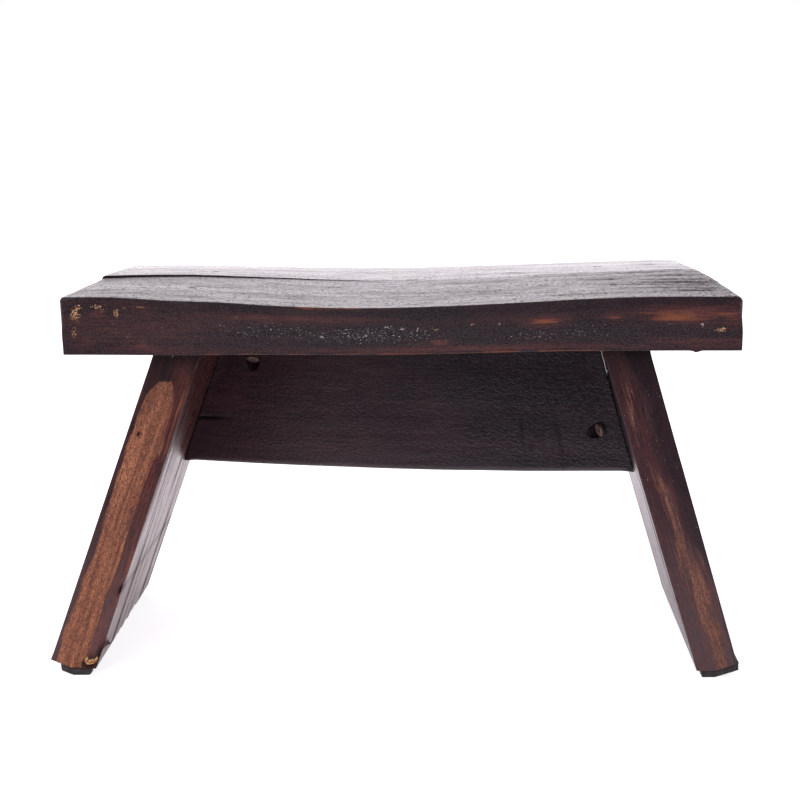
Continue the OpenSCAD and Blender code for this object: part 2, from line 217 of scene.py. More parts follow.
def lathe(profile: list[tuple[float, float]], ring: int) -> Skin:
    """Turns a profile about +Z.

    Args:
        profile: radius and height of each row; the first and last have no radius, and
            the rows climb, so that the faces point outwards.
        ring: points round a row.

    Returns:
        The points and the faces: quads between rows, and a fan at either end.
    """
    rows = np.array(profile)
    angle = np.arange(ring) * 2 * math.pi / ring
    inner = rows[1:-1]
    x = inner[:, :1] * np.cos(angle)
    y = inner[:, :1] * np.sin(angle)
    z = np.repeat(inner[:, 1:], ring, axis=1)
    body = np.stack([x, y, z], axis=2).reshape(-1, 3)
    poles = np.array([[0, 0, rows[0, 1]], [0, 0, rows[-1, 1]]])
    number = np.arange(len(inner) * ring).reshape(len(inner), ring)
    here, there = number[:-1], number[1:]
    quads = np.stack(
        [here, np.roll(here, -1, 1), np.roll(there, -1, 1), there], axis=2
    ).reshape(-1, 4)
    count = len(body)
    low = [[count, b, a] for a, b in zip(number[0], np.roll(number[0], -1))]
    high = [[count + 1, a, b] for a, b in zip(number[-1], np.roll(number[-1], -1))]
    return np.concatenate([body, poles]), quads.tolist() + low + high


def aimed(points: Array, origin: Array, axis: Array) -> Array:
    """Turns points so that their +Z lies along an axis, and moves them to an origin."""
    turn = np.array(Vector(axis).to_track_quat("Z", "Y").to_matrix())
    return points @ turn.T + origin


def joined(parts: list[Skin]) -> Skin:
    """Puts several closed skins into one, the later faces' numbers raised by the points before them.

    Args:
        parts: the skins.

    Returns:
        One list of points and one of faces.
    """
    points: list[Array] = []
    faces: list[list[int]] = []
    count = 0
    for some, more in parts:
        faces += [[n + count for n in face] for face in more]
        points.append(some)
        count += len(some)
    return np.concatenate(points), faces


def shown(name: str, data: bpy.types.ID) -> bpy.types.Object:
    """Makes an object and links it to the scene.

    Args:
        name: the object's name.
        data: its mesh, lamp or camera.

    Returns:
        The object.
    """
    thing = bpy.data.objects.new(name, data)
    bpy.context.scene.collection.objects.link(thing)
    return thing


def new_mesh(name: str, points: Array, faces: list[list[int]]) -> bpy.types.Object:
    """Makes an object at the origin from points in the frame's millimetres.

    Args:
        name: the object's name.
        points: the points, in mm.
        faces: lists of point numbers.

    Returns:
        The new object, shaded smooth.
    """
    mesh = bpy.data.meshes.new(name)
    mesh.from_pydata((points * MM).tolist(), [], faces)
    mesh.polygons.foreach_set("use_smooth", np.ones(len(mesh.polygons), bool))
    mesh.validate()
    return shown(name, mesh)


def write_attributes(thing: bpy.types.Object, plank: Array, masks: dict[str, Array]) -> None:
    """Stores what the wood shader reads.

    Args:
        thing: the piece.
        plank: each point's place in its board, along the grain first, in mm.
        masks: named values from 0 to 1, one for each point.
    """
    store = thing.data.attributes.new("plank", "FLOAT_VECTOR", "POINT")
    store.data.foreach_set("vector", plank.astype(np.float32).ravel())
    for name, values in masks.items():
        store = thing.data.attributes.new(name, "FLOAT", "POINT")
        store.data.foreach_set("value", values.astype(np.float32))


def bored(thing: bpy.types.Object, cutters: list[Skin]) -> None:
    """Cuts closed shapes out of a piece.

    Args:
        thing: the piece; its mesh is replaced by the bored one.
        cutters: the shapes' points, in the frame's mm, and faces.
    """
    cutter = new_mesh("cutter", *joined(cutters))
    cut = thing.modifiers.new("bore", "BOOLEAN")
    cut.operation = "DIFFERENCE"
    cut.solver = "MANIFOLD"
    cut.object = cutter
    graph = bpy.context.evaluated_depsgraph_get()
    mesh = bpy.data.meshes.new_from_object(
        thing.evaluated_get(graph), preserve_all_data_layers=True, depsgraph=graph
    )
    thing.modifiers.clear()
    thing.data = mesh
    bpy.data.objects.remove(cutter)


def put_in_place(
    thing: bpy.types.Object, node: str, material: bpy.types.Material, degrees: float = 38
) -> None:
    """Gives a finished piece its sharp edges and its material, and has it stand for its CAD node.

    Args:
        thing: the piece.
        node: the CAD node that it stands for.
        material: its finish.
        degrees: how much an edge turns before it is shaded as sharp.
    """
    thing.data.set_sharp_from_angle(angle=math.radians(degrees))
    thing.data.materials.clear()
    thing.data.materials.append(material)
    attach(thing, "root")
    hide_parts(node)


# Shader nodes and finishes


def linear(code: str) -> tuple[float, float, float, float]:
    """Turns an sRGB hex colour to linear light."""
    parts = [int(code[i : i + 2], 16) / 255 for i in (1, 3, 5)]
    return (
        *(c / 12.92 if c <= 0.04045 else ((c + 0.055) / 1.055) ** 2.4 for c in parts), 1.0
    )


class Kind(Enum):
    """A kind of node: its type, the inputs that its values fill in turn, its output, its settings."""

    STORED = ("ShaderNodeAttribute", (), "Fac", {})
    STORED_PLACE = ("ShaderNodeAttribute", (), "Vector", {})
    OBJECT_PLACE = ("ShaderNodeTexCoord", (), "Object", {})
    CAMERA_RAY = ("ShaderNodeLightPath", (), "Is Camera Ray", {})
    GLOSSY_RAY = ("ShaderNodeLightPath", (), "Is Glossy Ray", {})
    MAPPING = ("ShaderNodeMapping", ("Vector", "Location", "Scale"), 0, {})
    NOISE = ("ShaderNodeTexNoise", ("Vector", "Scale", "Detail", "Roughness"), "Fac", {})
    PLUS = ("ShaderNodeMath", (0, 1), 0, {"operation": "ADD"})
    TIMES = ("ShaderNodeMath", (0, 1), 0, {"operation": "MULTIPLY"})
    TIMES_PLUS = ("ShaderNodeMath", (0, 1, 2), 0, {"operation": "MULTIPLY_ADD"})
    HIGHER = ("ShaderNodeMath", (0, 1), 0, {"operation": "MAXIMUM"})
    STEP = (
        "ShaderNodeMapRange", ("Value", "From Min", "From Max"), 0,
        {"interpolation_type": "SMOOTHSTEP"},
    )
    SPREAD = ("ShaderNodeMapRange", ("Value", "From Min", "From Max", "To Min", "To Max"), 0, {})
    BLEND = ("ShaderNodeMix", (0, 6, 7), 2, {"data_type": "RGBA"})
    BUMP = ("ShaderNodeBump", ("Height", "Distance", "Strength", "Normal"), 0, {})
    SKIN = ("ShaderNodeBsdfPrincipled", ("Base Color", "Roughness", "Normal"), 0, {})
    PAINT = ("ShaderNodeBsdfDiffuse", ("Color",), 0, {})
    GLOW = ("ShaderNodeEmission", ("Color", "Strength"), 0, {})
    BOTH = ("ShaderNodeAddShader", (0, 1), 0, {})
    AIR = ("ShaderNodeBackground", ("Color", "Strength"), 0, {})
    SURFACE = ("ShaderNodeOutputMaterial", ("Surface",), None, {})
    WORLD = ("ShaderNodeOutputWorld", ("Surface",), None, {})


def add(
    tree: bpy.types.NodeTree, kind: Kind, *values: Any, named: Inputs | None = None, **settings: Any
) -> Socket | None:
    """Adds a node with its settings and links.

    Args:
        tree: the material's or world's node tree.
        kind: what is added.
        values: what its usual inputs take in turn, each a value or the output linked to it.
        named: the same for other inputs, by name.
        settings: the node's own properties, besides those of its kind.

    Returns:
        The output that its kind names, if it has one.
    """
    type_name, inputs, output, fixed = kind.value
    node = tree.nodes.new(type_name)
    for name, value in {**fixed, **settings}.items():
        setattr(node, name, value)
    for name, value in {**dict(zip(inputs, values)), **(named or {})}.items():
        if isinstance(value, Socket):
            tree.links.new(value, node.inputs[name])
        else:
            node.inputs[name].default_value = value
    return None if output is None else node.outputs[output]


def new_material(name: str) -> bpy.types.Material:
    """Makes a node material.

    Args:
        name: its name.

    Returns:
        The material, with an empty node tree.
    """
    material = bpy.data.materials.new(name)
    material.use_nodes = True
    material.node_tree.nodes.clear()
    return material


# Noise in the wood: its length along the grain and its width in mm, its detail, and where it is read.
# The specks, pores and grit are drawn coarser than softwood's own, so that they show in the render.
GRAINS = {
    "broad": (110, 8, 3, 0.0), "band": (55, 2.4, 3, 5.1), "fibre": (16, 1.1, 3, 7.7),
    "pores": (3.2, 0.6, 2, 9.7), "blotch": (22, 14, 4, 3.3), "speck": (1.0, 0.8, 2, 13.9),
    "mottle": (4.2, 1.3, 3, 17.3), "scratch": (9, 0.7, 2, 27.1), "pits": (1.7, 5.6, 2, 31.7),
    "grit": (1.5, 0.4, 2, 37.3),
}
# Values from 0 to 1 that a piece stores for its wood; one that it doesn't store is 0 all over.
MASKS = ("bare", "rub", "chips", "pale_chips_and_glints", "red", "haze", "dark", "peel", "scuff", "coat")


@dataclass(frozen=True)
class StainedWood:
    """Sawn softwood under a dark brushed stain and a worn lacquer.

    It gives the eye a near-black red-brown skin with fine pores along the grain and a
    pebbled gloss, and pale orange wood where the stain is worn through.
    """

    name: str
    dark: str = "#251720"
    red: str = "#42272a"
    wood_light: str = "#cb8660"
    wood_deep: str = "#90543c"
    rub: str = "#94522e"
    pore_stain: str = "#120b0e"
    # Near black for drips and blotches of stain, and for painted shade in scores, cracks, on leg faces
    # and under the seat.
    dirt_and_shade: str = "#140e10"
    chip_deep: str = "#a5683a"
    chip_light: str = "#e0bd8c"
    # The colour of painted glints, which also whitens chips where the specks are set strong.
    glint: str = "#c6bcbe"
    gloss: float = 0.33
    pebble_mm: float = 1.1
    pebble_depth: float = 0.00022
    pore_depth: float = 0.00005
    wear_depth: float = 0.00010
    pore_show: float = 0.7
    redness: float = 0.5

    def material(self) -> bpy.types.Material:
        """Builds the nodes.

        Returns:
            The material, which reads the piece's "plank" place and its masks.
        """
        material = new_material(self.name)
        node = partial(add, material.node_tree)
        plank = node(Kind.STORED_PLACE, attribute_name="plank")
        mask = {name: node(Kind.STORED, attribute_name=name) for name in MASKS}
        grain = {}
        for name, (along, wide, detail, lift) in {
            **GRAINS, "pebble": (self.pebble_mm, self.pebble_mm, 2, 21.0),
        }.items():
            place = node(Kind.MAPPING, plank, (lift,) * 3, (1 / along, 1 / wide, 1 / wide))
            grain[name] = node(Kind.NOISE, place, 1.0, detail, 0.6)
        colour, dull = self.colour(node, grain, mask)
        rough, level, coat = self.shine(node, grain, mask, dull)
        peel, relief = self.relief(node, grain, mask, dull)
        skin = node(Kind.SKIN, colour, rough, relief, named={
            "IOR": 1.5, "Specular IOR Level": level, "Coat Weight": coat,
            "Coat Roughness": 0.16, "Coat Normal": peel,
        })
        node(Kind.SURFACE, skin)
        return material

    def colour(self, node: Adder, grain: Sockets, mask: Sockets) -> tuple[Socket, Socket]:
        """Lays the colours over each other: stain, blackened by drips and by painted shade, rubbed
        stain, bare wood, chips, and painted glints.

        Args:
            node: adds a node to the material.
            grain: the noises.
            mask: the piece's stored values.

        Returns:
            The colour, and how far the lacquer is gone.
        """
        # The stain is nearly black, and redder where it lies thin on the grain.
        thin = node(Kind.TIMES_PLUS, grain["blotch"], 0.25, node(Kind.TIMES, grain["fibre"], 0.25))
        thin = node(Kind.TIMES_PLUS, grain["broad"], 0.5, thin)
        patchy = node(Kind.TIMES_PLUS, node(Kind.STEP, grain["fibre"], 0.35, 0.65), 0.7, 0.45)
        redder = node(Kind.TIMES, node(Kind.STEP, thin, 0.42, 0.62), self.redness)
        redder = node(Kind.TIMES_PLUS, mask["red"], patchy, redder)
        filled = node(Kind.TIMES, node(Kind.STEP, grain["pores"], 0.52, 0.72), self.pore_show)
        stain = node(Kind.BLEND, redder, linear(self.dark), linear(self.red))
        stain = node(Kind.BLEND, filled, stain, linear(self.pore_stain))
        # The "dark" mask blackens drips and blotches of stain, and paints shade into scores, cracks, leg
        # faces and the tops of the legs under the seat.
        stain = node(Kind.BLEND, mask["dark"], stain, linear(self.dirt_and_shade))

        # Bare wood: brown-orange with deeper bands, and dark open pores packed closely.
        bands = node(Kind.TIMES_PLUS, grain["band"], 0.7, node(Kind.TIMES, grain["broad"], 0.3))
        deeper = node(Kind.STEP, bands, 0.34, 0.66)
        wood = node(Kind.BLEND, deeper, linear(self.wood_light), linear(self.wood_deep))
        for name, low, high, strength, shade in (
            ("speck", 0.46, 0.58, 0.45, "#54291e"), ("pores", 0.50, 0.62, 0.50, "#3c1f18"),
            ("grit", 0.50, 0.58, 0.62, "#42211a"),
        ):
            share = node(Kind.TIMES, node(Kind.STEP, grain[name], low, high), strength)
            wood = node(Kind.BLEND, share, wood, linear(shade))

        # Worn places end raggedly, along the fibres.
        ragged = node(Kind.TIMES_PLUS, grain["speck"], 0.6, -1.1)
        ragged = node(Kind.TIMES_PLUS, grain["fibre"], 1.1, ragged)
        ragged = node(Kind.TIMES_PLUS, grain["blotch"], 0.5, ragged)
        bare = node(Kind.STEP, node(Kind.PLUS, mask["bare"], ragged), 0.36, 0.66)
        rubbed = node(Kind.STEP, node(Kind.PLUS, mask["rub"], ragged), 0.42, 1.0)
        rubbed = node(Kind.TIMES, rubbed, 0.85)
        crumbs = node(Kind.TIMES_PLUS, grain["speck"], 0.6, node(Kind.TIMES, grain["grit"], 0.4))
        chipped = node(Kind.STEP, node(Kind.TIMES_PLUS, mask["chips"], 0.34, crumbs), 0.78, 0.82)
        chip = node(
            Kind.BLEND, node(Kind.STEP, grain["pebble"], 0.42, 0.58),
            linear(self.chip_deep), linear(self.chip_light),
        )
        # Pale specks: painted glints on the pebbled lacquer, and pale chips where the mask is strong.
        chip_and_glint_share = node(Kind.TIMES_PLUS, mask["pale_chips_and_glints"], 0.22, grain["speck"])
        chip_and_glint_share = node(Kind.STEP, chip_and_glint_share, 0.825, 0.855)
        colour = stain
        for share, over in (
            (rubbed, linear(self.rub)), (bare, wood), (chipped, chip), (chip_and_glint_share, linear(self.glint)),
        ):
            colour = node(Kind.BLEND, share, colour, over)
        return colour, node(Kind.HIGHER, bare, node(Kind.HIGHER, rubbed, chipped))

    def shine(
        self, node: Adder, grain: Sockets, mask: Sockets, dull: Socket
    ) -> tuple[Socket, Socket, Socket]:
        """Works out the gloss: brushed and cloudy, duller where it is scuffed or pitted, and where drips
        and painted shade blacken it.

        Args:
            node: adds a node to the material.
            grain: the noises.
            mask: the piece's stored values.
            dull: how far the lacquer is gone.

        Returns:
            The roughness, the level of the shine, and the weight of the lacquer's own coat.
        """
        brushed = node(Kind.TIMES_PLUS, grain["blotch"], 0.5, node(Kind.TIMES, grain["fibre"], 0.5))
        rough = node(Kind.SPREAD, brushed, 0.35, 0.65, self.gloss - 0.05, self.gloss + 0.08)
        cloudy = node(Kind.TIMES_PLUS, node(Kind.STEP, grain["mottle"], 0.38, 0.62), 1.3, 0.35)
        scuffed = node(Kind.TIMES, mask["scuff"], node(Kind.STEP, grain["scratch"], 0.60, 0.70))
        for amount, share in (
            (dull, 0.30), (node(Kind.TIMES, mask["haze"], cloudy), 0.30), (scuffed, 0.35),
            (mask["dark"], 0.25),
        ):
            rough = node(Kind.TIMES_PLUS, amount, share, rough)
        scored = node(Kind.TIMES, node(Kind.STEP, grain["scratch"], 0.58, 0.68), 0.9)
        pitted = node(Kind.HIGHER, node(Kind.STEP, grain["pits"], 0.50, 0.66), scored)
        pitted = node(Kind.TIMES, mask["scuff"], pitted)
        lost = node(Kind.HIGHER, pitted, mask["dark"])
        level = node(Kind.TIMES_PLUS, lost, -0.46, 0.5)
        coat = node(Kind.TIMES, mask["coat"], node(Kind.TIMES_PLUS, lost, -1.0, 1.0))
        return rough, level, coat

    def relief(
        self, node: Adder, grain: Sockets, mask: Sockets, dull: Socket
    ) -> tuple[Socket, Socket]:
        """Works out the fine relief: pebbled lacquer, pores and fibres, and the edges of worn places.

        Args:
            node: adds a node to the material.
            grain: the noises.
            mask: the piece's stored values.
            dull: how far the lacquer is gone.

        Returns:
            The lacquer's own relief, and all of it together.
        """
        pebbled = node(Kind.STEP, grain["pebble"], 0.3, 0.62)
        pebbled = node(Kind.TIMES_PLUS, grain["mottle"], 0.6, pebbled)
        peel = node(Kind.BUMP, node(Kind.TIMES, pebbled, mask["peel"]), self.pebble_depth, 1.0)
        ridges = node(Kind.TIMES_PLUS, grain["pores"], -0.5, 1.0)
        ridges = node(Kind.TIMES_PLUS, grain["fibre"], -0.9, ridges)
        ridged = node(Kind.BUMP, ridges, self.pore_depth, 1.0, peel)
        kept = node(Kind.TIMES_PLUS, dull, -1.0, 1.0)
        return peel, node(Kind.BUMP, kept, self.wear_depth, 0.7, ridged)


@dataclass(frozen=True)
class PlainStuff:
    """Rubber, steel or wood filler: one colour that varies, with a fine relief."""

    name: str
    light: str
    deep: str
    metallic: float
    roughness: float
    grit_mm: float
    relief_mm: float

    def material(self) -> bpy.types.Material:
        """Builds the nodes.

        Returns:
            The material, which reads Object coordinates.
        """
        material = new_material(self.name)
        node = partial(add, material.node_tree)
        place = node(Kind.OBJECT_PLACE)
        cloud = node(Kind.NOISE, place, 1 / (6 * self.grit_mm * MM), 4.0)
        grit = node(Kind.NOISE, place, 1 / (self.grit_mm * MM), 2.0)
        share = node(Kind.SPREAD, cloud, 0.35, 0.65)
        colour = node(Kind.BLEND, share, linear(self.light), linear(self.deep))
        rough = node(Kind.SPREAD, cloud, 0.0, 1.0, self.roughness - 0.1, self.roughness + 0.15)
        bump = node(Kind.BUMP, grit, self.relief_mm * MM)
        skin = node(Kind.SKIN, colour, rough, bump, named={"Metallic": self.metallic})
        node(Kind.SURFACE, skin)
        return material


# Brushed dark stain under lacquer: it looks blackest and most pebbled on the seat, and browner and
# redder on the legs.
SEAT_STAIN = StainedWood(
    "stained_pine_seat", dark="#21151e", red="#653533", redness=0.22, gloss=0.20,
    pebble_depth=0.00034, pore_depth=0.00003, pore_show=0.45,
)
LEFT_LEG_STAIN = StainedWood(
    "stained_pine_left_leg", dark="#271920", red="#66322b", redness=0.3, gloss=0.26,
)
RIGHT_LEG_STAIN = StainedWood(
    "stained_pine_right_leg", dark="#291b26", red="#532a2b", wood_light="#a2705a",
    wood_deep="#6c4034", rub="#5f3229", redness=0.30, gloss=0.26,
)
STRETCHER_STAIN = StainedWood(
    "stained_pine_stretcher", dark="#1e131e", red="#482a32", redness=0.30, gloss=0.32,
    pebble_mm=1.5,
)
# Cut sheet rubber: matt charcoal with a crumbly grain.
PAD_RUBBER = PlainStuff("cut_sheet_rubber", "#3a3838", "#222021", 0.0, 0.72, 0.7, 0.12)
# Bright drawn steel, a little dulled, for nails and tacks.
NAIL_STEEL = PlainStuff("drawn_nail_steel", "#9a9895", "#75726e", 1.0, 0.42, 0.3, 0.01)
# Old screw steel: brown with rust and stain.
SCREW_STEEL = PlainStuff("rusted_screw_steel", "#7d6861", "#52403b", 0.3, 0.5, 0.25, 0.03)
# Stained stopping in the nail holes: dark, matt and cracked.
FILLER = PlainStuff("stained_stopping", "#33262b", "#1c1317", 0.0, 0.30, 0.8, 0.10)


# The four boards


class Side(Enum):
    """Which leg: the sign is its direction from the middle."""

    LEFT = -1
    RIGHT = 1


@dataclass
class BoardSurface:
    """A board's skin while it is made: where it is in the board, and its shape."""

    plank: Array
    shape: Array
    outward: Array
    quads: Array
    masks: dict[str, Array] = field(default_factory=dict)


def board_surface(
    size: Array, lines: tuple[Array, Array, Array], radius: Callable[[Array], Array]
) -> BoardSurface:
    """Starts a board: a box skin with its arrises rounded.

    Args:
        size: the board's lengths, in mm.
        lines: its grid lines.
        radius: gives the rounding at each point.

    Returns:
        The board's surface in its own place.
    """
    points, quads = box_skin(*lines)
    shape, outward = rounded(points, size, radius(points))
    return BoardSurface(points, shape, outward, quads)


def arris_share(outward: Array) -> Array:
    """How nearly a point's outward direction points away from an arris: 1 there, 0 on a face."""
    return ramp(np.sort(np.abs(outward), axis=1)[:, 1], 0.25, 0.7)


@dataclass
class SeatPlank:
    """The seat: one thick board, hollowed along its length, with a drying split.

    Its left end flares out towards the rear and its right end draws in. The split starts
    obliquely, nearer the front, and closes as it runs to its full length. The hollow reaches
    a run to either side of its lowest line, and the top falls to the rear and to the front.
    """

    length: float = SEAT_LONG
    depth: float = 200.0
    thick: float = 30.5
    left_flare: float = SEAT_FLARE
    right_draw: float = 3.0
    rear_corner: float = 8.0
    end_lean: float = 0.8
    end_swell: float = 1.3
    right_bulge: float = 1.2
    top_lift: float = 0.06
    split_back: float = 117.5
    split_lead: float = 12.5
    split_oblique: float = 100.0
    split_length: float = 186.0
    split_width: float = 1.3
    split_deep: float = 13.0
    split_step: float = 1.3
    fall_left: float = 3.0
    fall_right: float = 2.1
    front_fall: float = 2.5
    front_fall_start: float = 75.0
    hollow_front: float = 7.0
    hollow_rear: float = 3.2
    hollow_left: float = 19.0
    hollow_left_run: float = 140.0
    hollow_right_run: float = 205.0

    def wander(self, along: Array) -> Array:
        """How far the split strays from its straight part, in mm.

        It starts nearer the front, swings back past the straight line, and wavers.

        Args:
            along: places along the seat, in mm from its left end.

        Returns:
            How far behind the straight line it runs at each place.
        """
        lead = -self.split_lead * ramp(along, self.split_oblique - 8, -22)
        behind = 2.0 * np.exp(-(((along - 112) / 26) ** 2))
        ahead = 1.6 * np.exp(-(((along - 158) / 12) ** 2))
        return lead + behind - ahead + 0.5 * np.sin(along / 7) + 0.3 * np.sin(along / 2.6 + 1)

    def dip(self, along: Array, across: Array) -> Array:
        """How far the top lies below full height.

        The worn hollow is half a cosine wave either side of its lowest line, and deeper
        at the front. In front of the split the top falls a little to it, and the front
        edge is worn down at both ends; behind it the top falls to the rear.

        Args:
            along, across: places on the top, in mm from the front left corner.

        Returns:
            The dip in mm.
        """
        x = along - self.length / 2 + self.hollow_left
        run = np.where(x < 0, self.hollow_left_run, self.hollow_right_run)
        wave = (1 + np.cos(np.pi * np.clip(np.abs(x) / run, 0, 1))) / 2
        deep = self.hollow_front + (self.hollow_rear - self.hollow_front) * across / self.depth
        hollow = deep * wave

        # The falls meet the level parts in soft bends: hypot(t, soft) + t, halved, is t rounded at 0.
        nearer = 1 - across / self.split_back
        nearer = (np.hypot(nearer, 0.3) + nearer) / 2
        span = self.length - self.front_fall_start
        worn = self.front_fall * ((along - self.front_fall_start) / span - 1 + nearer)
        worn = np.clip(worn, 0, None)
        merge = 2.4
        worn_hollow = (hollow**merge + worn**merge) ** (1 / merge)
        left_worn = 0.9 * np.exp(-(((along - 55) / 20) ** 2)) * ramp(across, 60, 0)

        behind = (across - self.split_back) / (self.depth - self.split_back)
        soft = 0.5 * ramp(along, self.split_oblique, self.split_length)
        behind = (np.hypot(behind, soft) + behind) / 2
        end = along / self.length
        fall = behind * (self.fall_left * (1 - end) + self.fall_right * end)
        line = self.split_back + self.wander(along)
        ahead = np.clip(self.split_step * (across / line - along / self.split_length), 0, None)
        return worn_hollow + fall + left_worn + np.where(across < line, ahead, 0)

    def droop(self, along: Array) -> Array:
        """How far the lower front arris hangs below the flat underside, in mm."""
        places = (10, 57, 108, 159, 185, 210, 236, 262, 287, 318, 350)
        return np.interp(along, places, (0, 0.5, 0.85, 1.2, 1.1, 0.8, 0.4, 0, 0.15, 0.3, 0.5))

    def radius(self, points: Array) -> Array:
        """How rounded the arrises are: more on top and at the ends, and uneven all along.

        Args:
            points: points on the seat's skin.

        Returns:
            The rounding in mm at each point.
        """
        along, _, up = points.T
        top = ramp(up, 10, 20)
        left_end = ramp(along, 9, 0)
        right_end = ramp(along, self.length - 14, self.length - 2)
        uneven = relief(points, (14, 14, 60), 3)
        return 0.6 + 0.3 * top + 1.5 * top * left_end + 2.8 * top * right_end + 0.25 * uneven

    def surface(self) -> BoardSurface:
        """Works out the seat's skin.

        Returns:
            The skin in the frame's millimetres, with its masks.
        """
        size = np.array([self.length, self.depth, self.thick])
        ys = np.unique(np.concatenate([
            edged(self.depth, 6, 0.3, 2.0),
            self.split_back + np.array([-3.0, -1.6, -0.7, -0.25, 0.25, 0.7, 1.6, 3.0]),
        ]))
        closest = 0.2
        apart = np.concatenate([[True], np.diff(ys) > closest])
        lines = (edged(self.length, 6, 0.4, 1.5), ys[apart], edged(self.thick, 4.5, 0.3, 1.4))
        board = board_surface(size, lines, self.radius)
        self.wear(board)
        self.carry(board)
        return board

    def wear(self, board: BoardSurface) -> None:
        """Dents and waves the skin and marks where its finish is worn.

        Args:
            board: the seat's skin; its shape moves along the outward directions.
        """
        p, out = board.plank, board.outward
        along, across, up = p.T
        arris = arris_share(out)
        on_top = ramp(out[:, 2], 0.5, 0.9)
        wave = 0.20 * relief(p, (60, 18, 18), 11) + 0.08 * relief(p, (25, 5, 5), 12)
        dents = 0.7 * ramp(relief(p, (6, 6, 6), 13), 0.5, 0.95) * arris
        grooves = self.grooves(along - self.length / 2, across + FRONT) * on_top
        board.shape += out * (wave - dents - 0.45 * grooves - 0.22)[:, None]
        nub = marks(along - self.length / 2, up, ((151.5, 0.0, 1.6, 1.6, 1.0),)) * ramp(across, 8, 0)
        hang = self.droop(along) * ramp(across, 16, 2) * ramp(up, self.thick, 0)
        board.shape[:, 2] -= nub + hang
        board.masks = {**self.top_masks(board, on_top, grooves), **self.front_masks(board, arris)}

    def grooves(self, x: Array, y: Array) -> Array:
        """The scores along the top, most of them near the right end, from 0 to about 1."""
        return marks(x, y, (
            (69.8, 32.7, 6, 1.6, 1.1), (151.8, 66, 5, 2.0, 1.1), (161.8, -67.3, 7, 2.0, 1.1),
            (-163, -66, 10, 1.1, 1.0), (-156, -60, 13, 0.9, 0.8), (-150, -78, 16, 1.0, 0.8),
            (150, -40, 22, 2.2, 1.2), (158, -52, 14, 2.0, 1.1), (148, -28, 17, 2.0, 1.0),
            (163, -30, 9, 1.8, 1.2), (141, -62, 20, 1.8, 0.9), (-40, -20, 24, 0.9, 0.5),
            (60, -48, 30, 0.9, 0.5), (96, 8, 26, 0.9, 0.6), (-120, 2, 22, 0.9, 0.5),
            (155, -75, 12, 2.4, 1.2), (128, -48, 16, 2.0, 1.0), (162, -44, 8, 2.0, 1.2),
            (112, -20, 14, 1.8, 0.8), (152, -8, 16, 2.4, 1.1), (138, 10, 12, 2.0, 0.9),
            (160, 22, 9, 2.4, 1.1), (66, 40, 6, 1.6, 1.0), (7, 17.5, 4, 1.6, 1.0),
            (35, -8, 16, 1.2, 0.8), (58, -6, 8, 1.0, 0.7), (-60, -70, 14, 1.0, 0.6),
            (-110, -80, 12, 1.0, 0.7), (-100, -40, 20, 1.0, 0.6), (20, -75, 18, 1.0, 0.6),
            (90, -80, 16, 1.0, 0.7),
        ))

    def top_masks(self, board: BoardSurface, on_top: Array, grooves: Array) -> dict[str, Array]:
        """Where the seat's top is hazy, scuffed or still glossy, and where its scores are blackened as
        painted shade.

        Args:
            board: the seat's skin.
            on_top: 1 on the top, 0 elsewhere.
            grooves: the scores in the top.

        Returns:
            The masks that belong to the top.
        """
        p = board.plank
        x, across = p[:, 0] - self.length / 2, p[:, 1]
        ahead = ramp(across, self.split_back + 6, self.split_back - 2)
        haze = on_top * (0.22 * ahead + 0.45 * ramp(x, 60, 175) * ahead) + 0.3 * (1 - on_top)
        haze += 0.30 * on_top * relief(p, (60, 4, 50), 29) + 0.15 * on_top * relief(p, (9, 3, 50), 30)
        front_peel = 0.45 + 0.55 * marks(x, p[:, 2], ((-10, 12, 120, 11, 1.0), (120, 10, 60, 10, 0.7)))
        return {
            "haze": haze,
            # Painted shade: the scores are blackened, besides their shallow cut.
            "dark": np.clip(0.9 * grooves, 0, 1),
            "peel": np.where(on_top > 0.5, 0.30 + 0.14 * ahead, front_peel),
            "scuff": on_top * (0.35 + 0.65 * ramp(across, 190, 110)),
            "coat": on_top * (0.20 + 0.28 * ramp(across, 90, 200) * (1 - 0.35 * ramp(x, 40, -140))),
        }

    def front_masks(self, board: BoardSurface, arris: Array) -> dict[str, Array]:
        """Where the seat's front face and its arrises are chipped, reddened and rubbed, where painted
        glints speckle it, and where a painted sheen reddens it.

        Args:
            board: the seat's skin.
            arris: 1 on the arrises, 0 elsewhere.

        Returns:
            The masks that belong to the front.
        """
        p = board.plank
        x, across, z = p[:, 0] - self.length / 2, p[:, 1], p[:, 2]
        face = ramp(-board.outward[:, 1], 0.3, 0.7)
        chips = marks(x, z, (
            (-167, 21, 4.0, 5.2, 1.05), (-165, 25, 3.0, 2.0, 1.1), (-168.0, 12, 2.6, 4.5, 0.9),
            (-155.5, 25.4, 6, 1.6, 1.0), (-153, 22.5, 2.0, 1.4, 0.95),
            (-145.8, 22, 2.0, 3.2, 1.1), (-142, 25, 2.2, 1.2, 1.0), (-133, 25.9, 5, 0.8, 0.95),
            (-114.6, 20.3, 0.9, 1.3, 1.2), (-122.8, 15.5, 1.0, 1.0, 1.2), (-141, 10.4, 0.8, 1.6, 1.2),
            (-83.4, 21.6, 0.9, 1.0, 1.1), (-6.1, 18.0, 5.5, 1.2, 0.85), (-3.1, 16.0, 4.0, 1.0, 0.75),
            (1.2, 16.5, 1.2, 1.5, 1.2), (8.7, 16, 1.3, 1.3, 1.2), (18.4, 15.6, 1.2, 1.4, 1.2),
            (36.8, 18, 1.1, 1.6, 1.2), (51, 18.4, 1.2, 0.9, 0.9), (137, 15, 1.2, 1.1, 1.1),
            (154, 15, 0.9, 1.6, 1.3), (163, 11.8, 4.6, 2.2, 0.95), (165, 12.4, 1.4, 1.3, 1.4),
            (-24.6, 13.2, 1.3, 1.3, 1.2), (-17.4, 12.4, 1.3, 1.2, 1.2), (-40.5, 12, 0.9, 2.4, 0.95),
            (-151, 14, 14, 9, 0.5),
        ))
